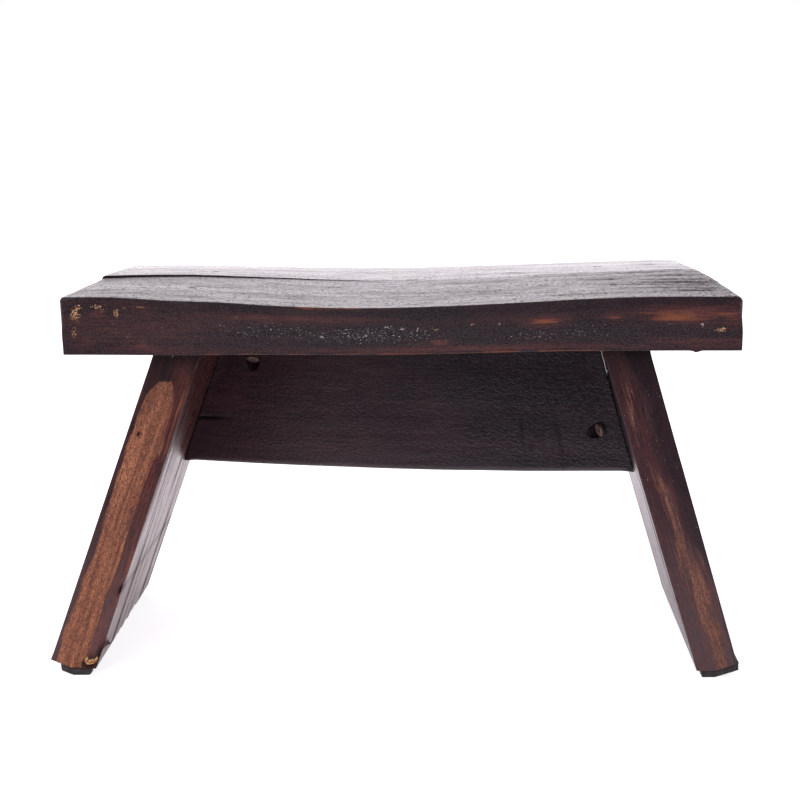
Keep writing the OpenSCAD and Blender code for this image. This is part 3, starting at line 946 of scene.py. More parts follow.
        # Painted glints: the broad marks scatter pale specks over the pebbled lacquer as highlights, and
        # the small strong ones whiten chips.
        pale_chips_and_glints = marks(x, z, (
            (-15, 12.5, 75, 8.5, 1.0), (-70, 15, 60, 9, 0.85), (90, 12, 50, 8, 0.8),
            (-6.1, 18.0, 5.0, 0.9, 1.5), (1.2, 16.5, 0.9, 1.6, 1.9), (8.7, 16, 1.0, 1.5, 1.9),
            (18.4, 15.6, 0.9, 1.5, 1.9), (36.8, 18, 0.8, 1.8, 1.9), (51, 18.4, 0.9, 0.9, 1.6),
            (-17.4, 12.4, 1.0, 1.2, 1.8), (-40.5, 12, 0.7, 2.6, 1.7), (154, 15, 0.7, 1.8, 2.0),
            (163, 11.8, 2.6, 1.4, 1.6), (137, 15, 0.9, 1.0, 1.7), (66, 10, 22, 5, 0.95),
        ))
        # The broad mark at x -163, z 11 lightens the stain towards red as a painted sheen of the hazy
        # lacquer there.
        red = marks(x, z, (
            (74, 18.5, 12, 2.6, 0.9), (109, 19, 6, 1.8, 0.9), (146, 19.3, 18, 3.0, 1.2),
            (152, 22, 24, 3.4, 1.0), (169, 20, 5.5, 5.6, 1.0), (-155, 21.5, 4, 1.6, 1.2),
            (-163, 11, 9, 9, 0.45), (-133.6, 5.3, 4, 2.4, 0.9), (20, 7.4, 5, 1.8, 1.0),
            (-140, 14, 34, 10, 0.4), (-60, 22.5, 45, 2.0, 0.6), (-125, 3.0, 30, 2.4, 0.6),
            (30, 3.0, 90, 1.8, 0.6), (150, 5, 26, 3, 0.5),
        ))
        rub = face * marks(x, z, (
            (142, 18.6, 17, 1.7, 1.15), (138, 21.2, 18, 1.5, 1.0), (73, 18.2, 9, 1.6, 1.05),
            (110, 19, 5.0, 1.2, 0.9), (166, 20.8, 9, 1.4, 0.8), (170, 17, 3, 1.8, 0.6),
            (-84, 22.6, 6, 0.9, 0.5), (80, 16.4, 6, 0.8, 0.6),
        ))
        # The lower arris is rubbed between the legs, and the upper one over the hollow.
        low = face * ramp(z, 1.9, 0.5) * ramp(relief(p, (9, 40, 40), 17), -0.6, 0.2)
        low *= ramp(x, -132, -110) * ramp(x, 132, 112) * (0.72 + 0.28 * ramp(np.abs(x - 68), 22, 12))
        crest = ramp(z, self.thick - 2.4, self.thick - 0.6) * ramp(across, 2.2, 0.8)
        crest *= ramp(x, -70, -58) * ramp(x, 22, 10) * ramp(relief(p, (7, 40, 40), 19), -0.3, 0.5)
        round_about = arris * ramp(relief(p, (12, 12, 12), 23), 0.0, 0.8) * ramp(across, 3, 12)
        rub = np.max([rub, low, 0.7 * crest, 0.35 * round_about], axis=0)
        return {"rub": rub, "chips": chips * face, "pale_chips_and_glints": pale_chips_and_glints * face, "red": red * face}

    def carry(self, board: BoardSurface) -> None:
        """Carries the skin to its place: the flared plan, the hollow and the leaning ends.

        Places along the board become shares between its two ends, which lean and swell, and
        each height is lowered by the dip, in full at the top and not at all underneath.

        Args:
            board: the seat's skin.
        """
        along, across, up = board.shape.T
        high = up / self.thick
        near = np.exp(-(((across - self.split_back) / 24) ** 2))
        stray = near * self.wander(along)
        level = np.clip(board.plank[:, 1], 0, self.depth) + stray
        dip = self.dip(np.clip(along, 0, self.length), level)
        z = up - (dip - self.top_lift) * np.clip(high, 0, 1)
        lean = self.end_lean * (1 - high)
        back = across / self.depth
        left = -self.length / 2 - self.end_swell - self.left_flare * back + lean
        bulge = self.right_bulge * np.sin(np.pi * np.clip(back, 0, 1)) * np.clip(high, 0, 1)
        right = self.length / 2 + self.end_swell - self.right_draw * back - 0.3 * lean + bulge

        # The rear right corner: the square of side r there is pressed into a quarter circle.
        across = across + stray
        r = self.rear_corner
        a = np.clip((along - self.length + r) / r, 0, None)
        b = np.clip((across - self.depth + r) / r, 0, None)
        pull = np.maximum(a, b) / np.maximum(np.hypot(a, b), 1e-9)
        corner = (a > 0) & (b > 0)
        along = np.where(corner, self.length - r + r * a * pull, along)
        across = np.where(corner, self.depth - r + r * b * pull, across)
        x = left + along / self.length * (right - left)
        board.shape = np.stack([x + SHIFT, across + FRONT, z + SEAT_UNDER], axis=1)

    def split_cutter(self) -> Skin:
        """The wedge that the drying split takes out: wide and deep at the left end.

        Its width falls as the power 0.8 of what is left of its length, its depth as the root.

        Returns:
            The wedge's points and faces.
        """
        overrun_left, overrun_up = 6, 4
        xs = np.linspace(-overrun_left, self.split_length, 90)
        points, quads = box_skin(xs, np.array([-1.0, 0.0, 1.0]), np.linspace(0, 1, 5))
        along, side, up = points.T
        left = 1 - np.clip(along / self.split_length, 0, 1)
        wide = self.split_width * left**0.8 * (0.25 + 0.75 * up) / 2 + 0.04
        deep = self.split_deep * left**0.5 + 1.2
        x = along - self.length / 2 - self.left_flare / 2
        y = self.split_back + self.wander(along) + side * wide
        z = self.thick - deep + up * (deep + overrun_up)
        return np.stack([x + SHIFT, y + FRONT, z + SEAT_UNDER], axis=1), quads.tolist()

    def build(self, holes: list[Skin]) -> bpy.types.Object:
        """Makes the seat.

        Args:
            holes: the nail holes to bore.

        Returns:
            The dressed seat.
        """
        board = self.surface()
        seat = new_mesh("seat_plank_worn", board.shape, board.quads.tolist())
        write_attributes(seat, board.plank, board.masks)
        bored(seat, [self.split_cutter(), *holes])
        put_in_place(seat, "seat_plank", SEAT_STAIN.material())
        return seat


@dataclass
class LegBoard:
    """A splayed leg: a wide board whose foot is cut flat at the inner side.

    Its places are level distances in from the outer top corner, distances back from its
    front face, and heights from the seat's underside. The nails into it stand at shares of
    its width, and come out of the seat's top at their heights. Angles are in radians.
    """

    side: Side
    thick: float
    foot_thick: float
    splay: float
    flat: float
    rise: float
    out_x: float
    setback: float
    turn: float
    pad_wide: float
    pad_inset: float
    node: str
    finish: StainedWood
    nail_shares: tuple[float, float]
    nail_ups: tuple[float, float]
    hollow_top: float = 0.0
    thin_top: float = 0.0
    nail_inset: float = 7.5
    tack_in: float = 6.0
    tack_shares: tuple[float, float] = (0.25, 0.75)
    tack_hole: float = 2.6
    tack_deep: float = 2.0

    @property
    def top(self) -> float:
        """Its level thickness under the seat."""
        return self.thick / math.cos(self.splay)

    @property
    def foot(self) -> float:
        """Its level thickness at the foot."""
        return self.foot_thick / math.cos(self.splay)

    @property
    def run(self) -> float:
        """How far out its outer face gets over the whole drop."""
        return LEG_DROP * math.tan(self.splay)

    @property
    def slope(self) -> float:
        """How far the inner face leans out for each mm down."""
        return (self.top - self.foot + self.run) / LEG_DROP

    def world(self, inward: Array | float, back: Array | float, up: Array | float) -> Array:
        """Carries places in the leg's frame to the frame of the stool: turned in plan, then moved.

        Args:
            inward: distance in from the outer top corner.
            back: distance from the leg's front face.
            up: height from the underside of the seat.

        Returns:
            The points in the frame's millimetres.
        """
        c, s = math.cos(self.turn), math.sin(self.turn)
        x = inward * -self.side.value
        return np.stack([
            self.out_x + x * c + back * s + SHIFT,
            FRONT + self.setback - x * s + back * c,
            up + SEAT_UNDER,
        ], axis=-1)

    def upward(self) -> Array:
        """The direction up along the leg, which its seat nails follow."""
        return self.world(math.sin(self.splay), 0, math.cos(self.splay)) - self.world(0, 0, 0)

    def nail_places(self) -> list[Array]:
        """Where the axes of its seat nails come out of the seat's top."""
        return [
            self.world(self.nail_inset + up * math.tan(self.splay), share * LEG_WIDTH, up)
            for share, up in zip(self.nail_shares, self.nail_ups)
        ]

    def lift(self, inward: Array) -> Array:
        """How far the sole rises above its flat part: evenly, from the knee to the outer face.

        Args:
            inward: distances in from the outer top corner.

        Returns:
            The rise in mm at each of them.
        """
        knee = self.foot - self.run - self.flat
        rate = self.rise / (self.foot - self.flat - self.run * self.rise / LEG_DROP)
        return np.clip(knee - inward, 0, None) * rate

    def carried(self, across: Array, back: Array, down: Array) -> Array:
        """Carries places in the leg board to the stool.

        Args:
            across: from the outer face to the inner face, as a share of the thickness.
            back: distance from the front face.
            down: distance down the leg, from 0 to the length of its drop.

        Returns:
            The points in the frame's millimetres.
        """
        sole = self.lift(self.foot * across - self.run)
        up = -down * (1 - sole / LEG_DROP)
        outer = self.run * up / LEG_DROP + self.sunk(-up)
        inner = self.top + self.slope * up - self.thinned(back, -up)
        return self.world(outer + across * (inner - outer), back, up)

    def sunk(self, down: Array | float) -> Array | float:
        """How far the outer face lies in from its flat, in mm: most at the top."""
        return self.hollow_top * np.clip(1 - down / LEG_DROP, 0, 1)

    def thinned(self, back: Array, down: Array) -> Array:
        """How far the inner face lies in from its flat, in mm: deepest behind its front, high up."""
        return self.thin_top * ramp(back, 8, 58) * ramp(down, 60, 4)

    def surface(self) -> BoardSurface:
        """Works out the leg's skin.

        Returns:
            The skin in the frame's millimetres, with its masks.
        """
        size = np.array([self.top, LEG_WIDTH, LEG_DROP])
        lines = (
            edged(self.top, 3, 0.25, 1.1), edged(LEG_WIDTH, 3, 0.25, 1.7),
            edged(LEG_DROP, 3, 0.3, 1.3),
        )

        def radius(points: Array) -> Array:
            """Nearly square under the seat, and worn round lower down.

            Args:
                points: points on the leg's skin.

            Returns:
                The rounding in mm at each point.
            """
            down = points[:, 2]
            low = ramp(down, 0, 12) * ramp(down, LEG_DROP, LEG_DROP - 6)
            return 0.25 + low * (0.4 + 0.25 * relief(points, (20, 20, 13), 31 + self.side.value))

        board = board_surface(size, lines, radius)
        self.wear(board)
        across, back, down = board.shape.T
        board.shape = self.carried(across / self.top, back, down)
        other_wood = 400 * (2 + self.side.value)
        board.plank = board.plank[:, [2, 1, 0]] + other_wood
        return board

    def wear(self, board: BoardSurface) -> None:
        """Waves and dents the skin, and marks where its stain is worn.

        Args:
            board: the leg's skin.
        """
        p, out = board.plank, board.outward
        seed = 50 + 10 * self.side.value
        arris = arris_share(out)
        free = ramp(p[:, 2], 1, 8) * ramp(p[:, 2], LEG_DROP - 1, LEG_DROP - 6)
        wave = 0.18 * relief(p, (9, 22, 60), seed) + 0.07 * relief(p, (4, 5, 30), seed + 1)
        dents = 0.8 * ramp(relief(p, (5, 5, 7), seed + 2), 0.45, 0.95) * arris
        board.shape += out * ((wave - dents - 0.08) * free)[:, None]
        if self.side is Side.LEFT:
            self.wear_left(board)
        else:
            self.wear_right(board)

    def wear_left(self, board: BoardSurface) -> None:
        """The left leg: bare down its front, with torn fibres along the foot's inner arris.

        Args:
            board: the leg's skin.
        """
        p, out = board.plank, board.outward
        across, back, down = p.T
        share = across / self.top
        face = ramp(-out[:, 1], 0.35, 0.7)
        low_inner = ramp(down, LEG_DROP - 5, LEG_DROP - 0.5) * ramp(share, 0.82, 0.97)
        torn = 2.2 * low_inner * ramp(relief(p, (40, 3.5, 40), 71), -0.2, 0.8)
        board.shape[:, 2] -= torn * ramp(back, 2, 8)
        bite = marks(across, down, (
            (self.top, 136.0, 2.2, 3.2, 1.7), (self.top * 0.6, LEG_DROP, 2.5, 1.6, 0.9),
        ))
        board.shape -= out * (bite * ramp(back, 9, 1))[:, None]
        sliver = 3.4 * marks(back, down, ((5, 169, 3.0, 1.8, 1.0),)) * ramp(share, 0.85, 1)
        board.shape[:, 0] += sliver

        # The bare strip lies between an outer and an inner border, under a slanting crown.
        outer = np.interp(
            down, (19, 27, 38, 56, 66, 76, 89, 104, 118, 133, 148, 156, 165, 174),
            (0.24, 0.14, 0.10, 0.10, 0.13, 0.11, 0.12, 0.15, 0.18, 0.10, 0.10, 0.08, 0.09, 0.11),
        )
        inner = np.interp(
            down, (20, 36, 46, 56, 62, 72, 94, 104, 118, 129, 139, 152, 160, 173),
            (0.70, 0.78, 0.79, 0.86, 0.77, 0.73, 0.70, 0.71, 0.76, 0.74, 0.69, 0.74, 0.70, 0.75),
        )
        crown = np.interp(share, (0.2, 0.32, 0.6, 0.74, 0.94), (24, 19, 19, 28.5, 29.5))
        within = np.min([(share - outer) * self.top, (inner - share) * self.top, down - crown], axis=0)
        bare = np.clip(0.5 + within / 3.0, 0, 1) * face
        strips = face * marks(share, down, (
            (0.93, 32, 0.09, 22, 0.85), (0.92, 56, 0.06, 20, 0.7),
            (0.97, 128, 0.10, 26, 0.75), (0.93, 172, 0.06, 12, 0.75),
        ))
        chips = face * marks(share, down, (
            (0.84, 178.2, 0.10, 1.6, 2.4), (0.94, 176.8, 0.03, 1.6, 2.2),
            (0.73, 176.4, 0.025, 1.8, 2.2), (0.41, 4.8, 0.04, 1.6, 1.1),
            (0.65, 4.7, 0.04, 1.6, 1.1), (0.415, 39, 0.012, 11, 0.7),
        ))
        patch = ramp(-out[:, 1], -0.2, 0.5) * marks(share, down, (
            (0.84, 179, 0.22, 4.6, 1.0), (0.26, 48.6, 0.05, 2.0, 0.8),
            (1.0, 136, 0.07, 2.8, 1.6), (1.0, 174, 0.10, 8, 1.0),
        ))
        red = face * (0.75 * ramp(share, 0.6, 0.76) * ramp(down, 6, 30) + 0.35 * ramp(share, 0.3, 0.0))
        red = np.maximum(np.clip(red, 0, 1), 0.8 * ramp(out[:, 0], 0.5, 0.9))
        red += 0.8 * marks(share, down, ((0.68, 14, 0.2, 9, 1.0), (0.73, 44, 0.05, 22, 0.9))) * face
        inside = ramp(out[:, 0], 0.5, 0.9)
        streaks = inside * ramp(relief(p, (40, 2.6, 90), 73), 0.15, 0.75)
        # Painted shade: the front face darkens just under the seat, and the inner face darkens lower
        # down.
        shade = 0.6 * face * ramp(down, 14, 2) + 0.16 * inside * ramp(down, 60, 150)
        board.masks = {
            "bare": np.clip(bare - 1.2 * patch, 0, 1),
            "rub": strips * (1 - np.clip(patch, 0, 1)),
            "chips": chips,
            "red": red,
            "haze": 0.7 * streaks + 0.3 * face,
            "dark": np.clip(patch + 0.35 * streaks + shade, 0, 1),
            "peel": np.full(len(p), 0.10),
        }

    def wear_right(self, board: BoardSurface) -> None:
        """The right leg: stained all over, with a rubbed streak that widens down its front.

        Args:
            board: the leg's skin.
        """
        p, out = board.plank, board.outward
        across, back, down = p.T
        share = 1 - across / self.top
        face = ramp(-out[:, 1], 0.35, 0.7)
        centre = np.interp(
            down, (0, 18, 30, 42, 54, 62, 74, 86, 109, 118, 127, 137, 155, 165, 174),
            (0.28, 0.31, 0.28, 0.22, 0.22, 0.30, 0.40, 0.47, 0.48, 0.48, 0.53, 0.60, 0.64, 0.63, 0.61),
        )
        half = np.interp(
            down, (0, 18, 30, 54, 62, 74, 86, 100, 109, 118, 127, 137, 155, 174),
            (0.06, 0.12, 0.15, 0.14, 0.11, 0.16, 0.17, 0.16, 0.19, 0.22, 0.25, 0.25, 0.27, 0.21),
        )
        aside = np.abs(share - centre) / half
        strands = 0.5 * relief(p, (1.5, 60, 26), 77) + 0.3 * relief(p, (0.8, 60, 9), 78)
        strength = np.interp(
            down, (0, 12, 25, 55, 62, 78, 95, 127, 182),
            (0.0, 0.1, 0.47, 0.45, 0.36, 0.56, 0.70, 0.74, 0.64),
        )
        patches = marks(share, down, (
            (0.84, 124, 0.07, 10, 0.55), (0.80, 140, 0.09, 12, 0.6), (0.20, 36, 0.10, 16, 0.58),
            (0.56, 42, 0.06, 13, 0.52), (0.16, 72, 0.07, 10, 0.48),
        ))
        bare = np.maximum(ramp(aside - strands, 1.7, 0.2) * strength, patches) * face

        # Outside a wavering border the face keeps its darkest stain.
        border = np.interp(
            down, (0, 7, 19, 29, 50, 89, 95, 109, 115, 123, 138, 165),
            (0.40, 0.46, 0.57, 0.72, 0.66, 0.70, 0.66, 0.69, 0.86, 0.95, 1.0, 0.95),
        )
        border += 0.05 * relief(p, (60, 60, 16), 79)
        outer_band = ramp(share, border - 0.06, border + 0.06)
        red = face * (0.45 + 0.35 * ramp(down, 70, 165)) * (1 - outer_band)
        red = np.maximum(red, 0.75 * ramp(aside, 2.2, 0.8) * face)
        # Painted highlight: a thin paler, redder, hazier line along the front face beside the inner
        # arris.
        painted_arris_highlight = marks(share, down, ((0.03, 90, 0.02, 90, 1.0),)) * ramp(down, 165, 140) * face
        inside = ramp(out[:, 0], 0.5, 0.9)
        # Painted shade: a dark line down the inner face behind its front arris, blackened and with its
        # reflection dimmed.
        painted_shade_line = inside * marks(back, down, ((17, 118, 9, 48, 1.25),))
        painted_shade_line *= 0.62 + 0.38 * relief(p, (40, 1.8, 30), 80)
        streaks = inside * ramp(relief(p, (40, 2.6, 90), 75), 0.2, 0.8)
        haze = 0.3 * face + 0.8 * painted_arris_highlight + 0.4 * streaks + 0.3 * inside * ramp(down, 80, 160)
        # Painted shade darkens the front face just under the seat; the outer band is the stain's own
        # darkest part.
        dark = 0.5 * face * ramp(down, 14, 2) + 0.9 * painted_shade_line + 0.25 * outer_band * face
        board.masks = {
            "bare": bare,
            "rub": 0.5 * ramp(aside, 1.8, 0.5) * face,
            # Painted glints are scattered over the front face.
            "pale_chips_and_glints": 0.5 * face,
            "red": np.clip(red + painted_arris_highlight, 0, 1.4),
            "haze": haze,
            "dark": np.clip(dark, 0, 1),
            "peel": np.full(len(p), 0.12),
        }

    def outward(self, quads: Array) -> list[list[int]]:
        """Faces a skin outwards: the left leg runs the other way round, so its quads are turned."""
        return (quads[:, ::-1] if self.side is Side.LEFT else quads).tolist()

    def build(self, holes: list[Skin]) -> bpy.types.Object:
        """Makes the leg.

        Args:
            holes: the nail holes to bore.

        Returns:
            The dressed leg.
        """
        board = self.surface()
        leg = new_mesh(f"{self.node}_worn", board.shape, self.outward(board.quads))
        write_attributes(leg, board.plank, board.masks)
        if holes:
            bored(leg, holes)
        put_in_place(leg, self.node, self.finish.material())
        return leg

    def pad(self, name: str, start: float, seed: int) -> bpy.types.Object:
        """Makes one rubber pad under the foot.

        Args:
            name: the CAD node that it stands for.
            start: where it starts, from the leg's front face.
            seed: picks its ragged outline.

        Returns:
            The dressed pad.
        """
        size = np.array([self.pad_wide, PAD_LONG, PAD_THICK])
        lines = (
            edged(self.pad_wide, 2, 0.4, 0.9), edged(PAD_LONG, 2, 0.4, 1.1),
            edged(PAD_THICK, 1.2, 0.3, 0.6),
        )
        board = board_surface(size, lines, lambda p: np.full(len(p), 0.45))
        p = board.plank
        rim = 1 - np.abs(board.outward[:, 2])
        ragged = 0.6 * relief(p, (4, 4, 30), seed) + 0.35 * relief(p, (1.6, 1.6, 3), seed + 1)
        fuller = 0.6
        if self.side is Side.RIGHT:
            fuller = 0.6 * ramp(p[:, 0], self.pad_wide, self.pad_wide - 4) - 0.5
        level = board.outward * np.array([1.0, 1.0, 0.0])
        board.shape += level * (rim * (ragged + fuller))[:, None]

        # The underside is worn uneven, but flat round the tacks' holes.
        sunk = 0.12 * relief(p, (3, 3, 3), seed + 2)
        for share in self.tack_shares:
            away = np.hypot(p[:, 0] - self.tack_in, p[:, 1] - share * PAD_LONG)
            sunk *= ramp(away, self.tack_hole + 1.0, self.tack_hole + 2.4)
        out, back, up = board.shape.T
        inner_edge = self.foot - self.run - self.pad_inset
        underside = -LEG_DROP - PAD_THICK
        z = up + self.lift(inner_edge - out) + underside + np.clip(sunk * (up < PAD_THICK / 2), 0, None)
        shape = self.world(inner_edge - out, back + start, z)
        pad = new_mesh(f"{name}_cut", shape, self.outward(board.quads))
        hole, deep, overrun = self.tack_hole, self.tack_deep, 3
        points, faces = lathe([(0, -overrun), (hole, -overrun), (hole, deep), (0, deep)], 24)
        middles = [
            self.world(inner_edge - self.tack_in, start + share * PAD_LONG, underside)
            for share in self.tack_shares
        ]
        bored(pad, [(points + middle, faces) for middle in middles])
        put_in_place(pad, name, PAD_RUBBER.material(), degrees=50)
        return pad


@dataclass
class Stretcher:
    """The board between the legs, set askew, with a rounded lower arris.

    Its lower edge climbs to the right and bellies down in the middle. Between it and the
    right leg a narrow gap is open down to a height, with a few small openings below that.
    """

    thick: float = 22.0
    high: float = 88.0
    climb: float = 6.1
    belly: float = 2.5
    left_back: float = 128.0
    skew: float = math.radians(13.0)
    start_x: float = -106.205
    face: float = 217.68
    gap_top: float = 0.75
    gap_ends: float = -26.0
    crack_up: float = 27.9
    end_nail_shares: tuple[float, float] = (0.55, 0.84)

    def point(self, along: Array | float, back: Array | float, up: Array | float) -> Array:
        """Carries places in the stretcher's frame to the frame of the stool."""
        c, s = math.cos(self.skew), math.sin(self.skew)
        return np.stack([
            self.start_x + along * c + back * s + SHIFT,
            FRONT + self.left_back - along * s + back * c,
            up + SEAT_UNDER,
        ], axis=-1)

    def end_nail_places(self, left: LegBoard) -> list[Array]:
        """Where the axes of the nails in its left end come out of the left leg's outer face.

        Args:
            left: the left leg.

        Returns:
            The two points in the frame's millimetres.
        """
        places = []
        for share in self.end_nail_shares:
            down = share * self.high
            outer = left.top + down * left.slope - left.sunk(down)
            along = -outer / math.cos(self.skew) - self.thick / 2 * math.tan(self.skew)
            places.append(self.point(along, self.thick / 2, -down))
        return places

    def ends(self, back: Array, up: Array, left: LegBoard, right: LegBoard) -> tuple[Array, Array]:
        """Where the stretcher meets the legs' inner faces.

        Args:
            back: places through the thickness.
            up: heights from the underside of the seat.
            left, right: the legs.

        Returns:
            Its two ends, as distances along its face.
        """
        c, s = math.cos(self.skew), math.sin(self.skew)
        meet = left.out_x + left.top + left.slope * up
        first = (meet - self.start_x - back * s) / c
        nx, ny = -math.cos(right.turn), math.sin(right.turn)
        low = self.gap_ends - 3
        spots = 1.4 * np.clip(np.sin(up * 1.3) - 0.3, 0, 1) * ramp(up, -46, -34)
        gap = self.gap_top * ramp(up, low, self.gap_ends) + spots * ramp(up, self.gap_ends, low)
        from_x = self.start_x + back * s - right.out_x
        from_y = self.left_back + back * c - right.setback
        inset = right.top + right.slope * up + gap - right.thinned(from_y - self.face * s, -up)
        last = (inset - from_x * nx - from_y * ny) / (c * nx - s * ny)
        return first, last

    def surface(self, left: LegBoard, right: LegBoard) -> BoardSurface:
        """Works out the stretcher's skin.

        Args:
            left, right: the legs that it meets.

        Returns:
            The skin in the frame's millimetres, with its masks.
        """
        size = np.array([self.face, self.thick, self.high])
        lines = (
            edged(self.face, 3, 0.5, 1.5), edged(self.thick, 5, 0.5, 1.5), edged(self.high, 5, 0.5, 0.9),
        )

        def radius(points: Array) -> Array:
            """Square at the top and the ends, rounded along the lower arris.

            Args:
                points: points on the stretcher's skin.

            Returns:
                The rounding in mm at each point.
            """
            along, _, up = points.T
            ends = np.minimum(ramp(along, 0, 7), ramp(along, self.face, self.face - 7))
            return 0.4 + ramp(up, 16, 7) * ends * (3.1 + 0.5 * relief(points, (22, 30, 30), 81))

        board = board_surface(size, lines, radius)
        self.wear(board)

        along, back, up = board.shape.T
        up = up - self.high
        share = along / self.face
        bellied = self.climb * share - self.belly * (1 - (2 * share - 1) ** 2)
        up = up + bellied * np.clip(-up / self.high, 0, 1)
        first, last = self.ends(back, up, left, right)
        board.shape = self.point(first + share * (last - first), back, up)
        return board

    def wear(self, board: BoardSurface) -> None:
        """Waves the skin, opens its crack, marks its stain's drips and blotches, and paints shade into
        the crack and a few glints onto the face.

        Args:
            board: the stretcher's skin.
        """
        p, out = board.plank, board.outward
        x, _, z = p.T
        front = ramp(-out[:, 1], 0.5, 0.9)
        free = np.minimum(ramp(x, 0, 4), ramp(x, self.face, self.face - 4))
        free *= ramp(z, self.high, self.high - 3)
        wave = 0.2 * relief(p, (50, 14, 14), 82) + 0.06 * relief(p, (25, 4, 4), 83)
        crack = marks(x, z - self.crack_up - 0.05 * x, ((5, 0, 10, 0.9, 1.0),)) * front
        board.shape += out * ((wave - 0.08) * free - 0.6 * crack)[:, None]

        drips = ramp(relief(p, (1.6, 60, 40), 85), 0.30, 0.8) * ramp(z, 40, 26)
        drips *= ramp(x, 160, 170) * ramp(x, 192, 182)
        stains = ramp(relief(p, (1.3, 9, 6), 87), -0.3, 0.6) * marks(x, z, (
            (172, 30, 9, 26, 0.7), (186, 66, 16, 16, 0.6), (205, 60, 10, 20, 0.7),
            (150, 70, 26, 14, 0.5), (6, 62, 10, 18, 0.6), (24, 74, 30, 6, 0.5), (110, 60, 12, 10, 0.4),
        ))
        # A few pale specks as painted glints.
        pale_chips_and_glints = marks(x, z, ((166, 8, 4, 3, 0.8), (208, 10, 3, 2, 0.8), (185, 76, 8, 4, 0.6)))
        reds = marks(x, z, ((12, 40, 16, 16, 1.1), (68, 13, 20, 10, 1.0), (120, 30, 20, 20, 0.5)))
        board.masks = {
            "rub": marks(x, z, ((60, 82, 60, 2, 0.3),)) * front,
            "pale_chips_and_glints": pale_chips_and_glints * front,
            "red": (1 - drips) * np.maximum(0.55 * ramp(x, 170, 60), reds) * front,
            "haze": 0.5 * ramp(z, 9, 2) * ramp(x, 200, 150) - 0.25 * ramp(x, 110, 180) * front,
            # The crack's line is blackened as painted shade; the drips and blotches are the stain's own.
            "dark": np.clip(0.8 * drips + 0.7 * stains + 1.2 * crack, 0, 1) * front,
            "peel": 0.25 + 0.25 * ramp(x, 90, 175) * front,
        }

    def build(self, left: LegBoard, right: LegBoard, holes: list[Skin]) -> bpy.types.Object:
        """Makes the stretcher.

        Args:
            left, right: the legs that it meets.
            holes: the pockets to bore.

        Returns:
            The dressed stretcher.
        """
        board = self.surface(left, right)
        rail = new_mesh("stretcher_worn", board.shape, board.quads.tolist())
        other_wood = 1700
        write_attributes(rail, board.plank + other_wood, board.masks)
        bored(rail, holes)
        put_in_place(rail, "stretcher", STRETCHER_STAIN.material())
        return rail


# Fastenings


@dataclass
class Pocket:
    """A slanted screw pocket in the stretcher's face, its screw's head filling the mouth.

    Its place is measured along the stretcher's face from the left end, and up from the
    seat's underside, so that its height is below zero. Its axis slants into the face, and
    climbs along it, by angles in degrees.
    """

    along: float
    up: float
    climb: float
    slant: float = 34.0
    bore: float = 8.8
    deep: float = 1.4
    screw_hole: float = 4.0
    head: float = 8.0
    head_thick: float = 2.8
    shank: float = 26.0
    pitch: float = 1.0

    def place(self, rail: Stretcher) -> Matrix:
        """The pocket's place, in mm: +Z runs down into it."""
        return (
            Matrix.Translation((rail.start_x + SHIFT, FRONT + rail.left_back, SEAT_UNDER))
            @ Matrix.Rotation(-rail.skew, 4, "Z")
            @ Matrix.Translation((self.along, 0, self.up))
            @ Matrix.Rotation(math.radians(-self.climb), 4, "Y")
            @ Matrix.Rotation(math.radians(self.slant), 4, "Z")
            @ Matrix.Rotation(math.radians(90), 4, "Y")
        )

    def placed(self, rail: Stretcher, points: Array) -> Array:
        """Carries points from the pocket's own place to the stool."""
        m = np.array(self.place(rail))
        return points @ m[:3, :3].T + m[:3, 3]

    def cutter(self, rail: Stretcher) -> Skin:
        """What is bored out of the stretcher: a round bore with a slightly coned floor.

        Args:
            rail: the stretcher.

        Returns:
            The bore's points and faces.
        """
        r, hole, out = self.bore / 2, self.screw_hole / 2, 20
        points, faces = lathe([
            (0, -out), (r, -out), (r, self.deep - 0.6), (r - 0.5, self.deep), (hole, self.deep),
            (hole, self.shank + 1), (0, self.shank + 3),
        ], 40)
        return self.placed(rail, points), faces

    def screw(self, rail: Stretcher, name: str) -> bpy.types.Object:
        """Makes the screw on the pocket's floor.

        Args:
            rail: the stretcher.
            name: the CAD node that it stands for.

        Returns:
            The dressed screw: a domed head with a cross recess, and a threaded shank.
        """
        under, rim = self.deep, self.head / 2
        top = under - self.head_thick
        rings = (0.0, 0.55, 1.0, 1.5, 2.0, 2.5, 3.0, 3.5, 3.95, rim)
        head = [(r, top + 0.75 * (r / rim) ** 3) for r in rings]
        head += [(rim, under - 0.3), (rim - 0.2, under), (1.9, under)]
        thread = [
            (1.35 + 0.5 * (i % 2), z)
            for i, z in enumerate(np.arange(under + 0.6, under + self.shank, self.pitch / 2))
        ]
        tip = [(0.5, under + self.shank + 1.0), (0.0, under + self.shank + 1.6)]
        points, faces = lathe(head + thread + tip, 48)

        # The cross recess: two arms pressed in wherever x or y is small, out to its reach.
        arm = np.minimum(np.abs(points[:, 0]), np.abs(points[:, 1]))
        reach = np.hypot(points[:, 0], points[:, 1])
        on_face = points[:, 2] < top + 0.5
        points[:, 2] += 1.3 * ramp(arm, 0.62, 0.28) * ramp(reach, 2.6, 1.7) * on_face
        screw = new_mesh(f"{name}_turned", self.placed(rail, points), faces)
        put_in_place(screw, name, SCREW_STEEL.material(), degrees=45)
        return screw


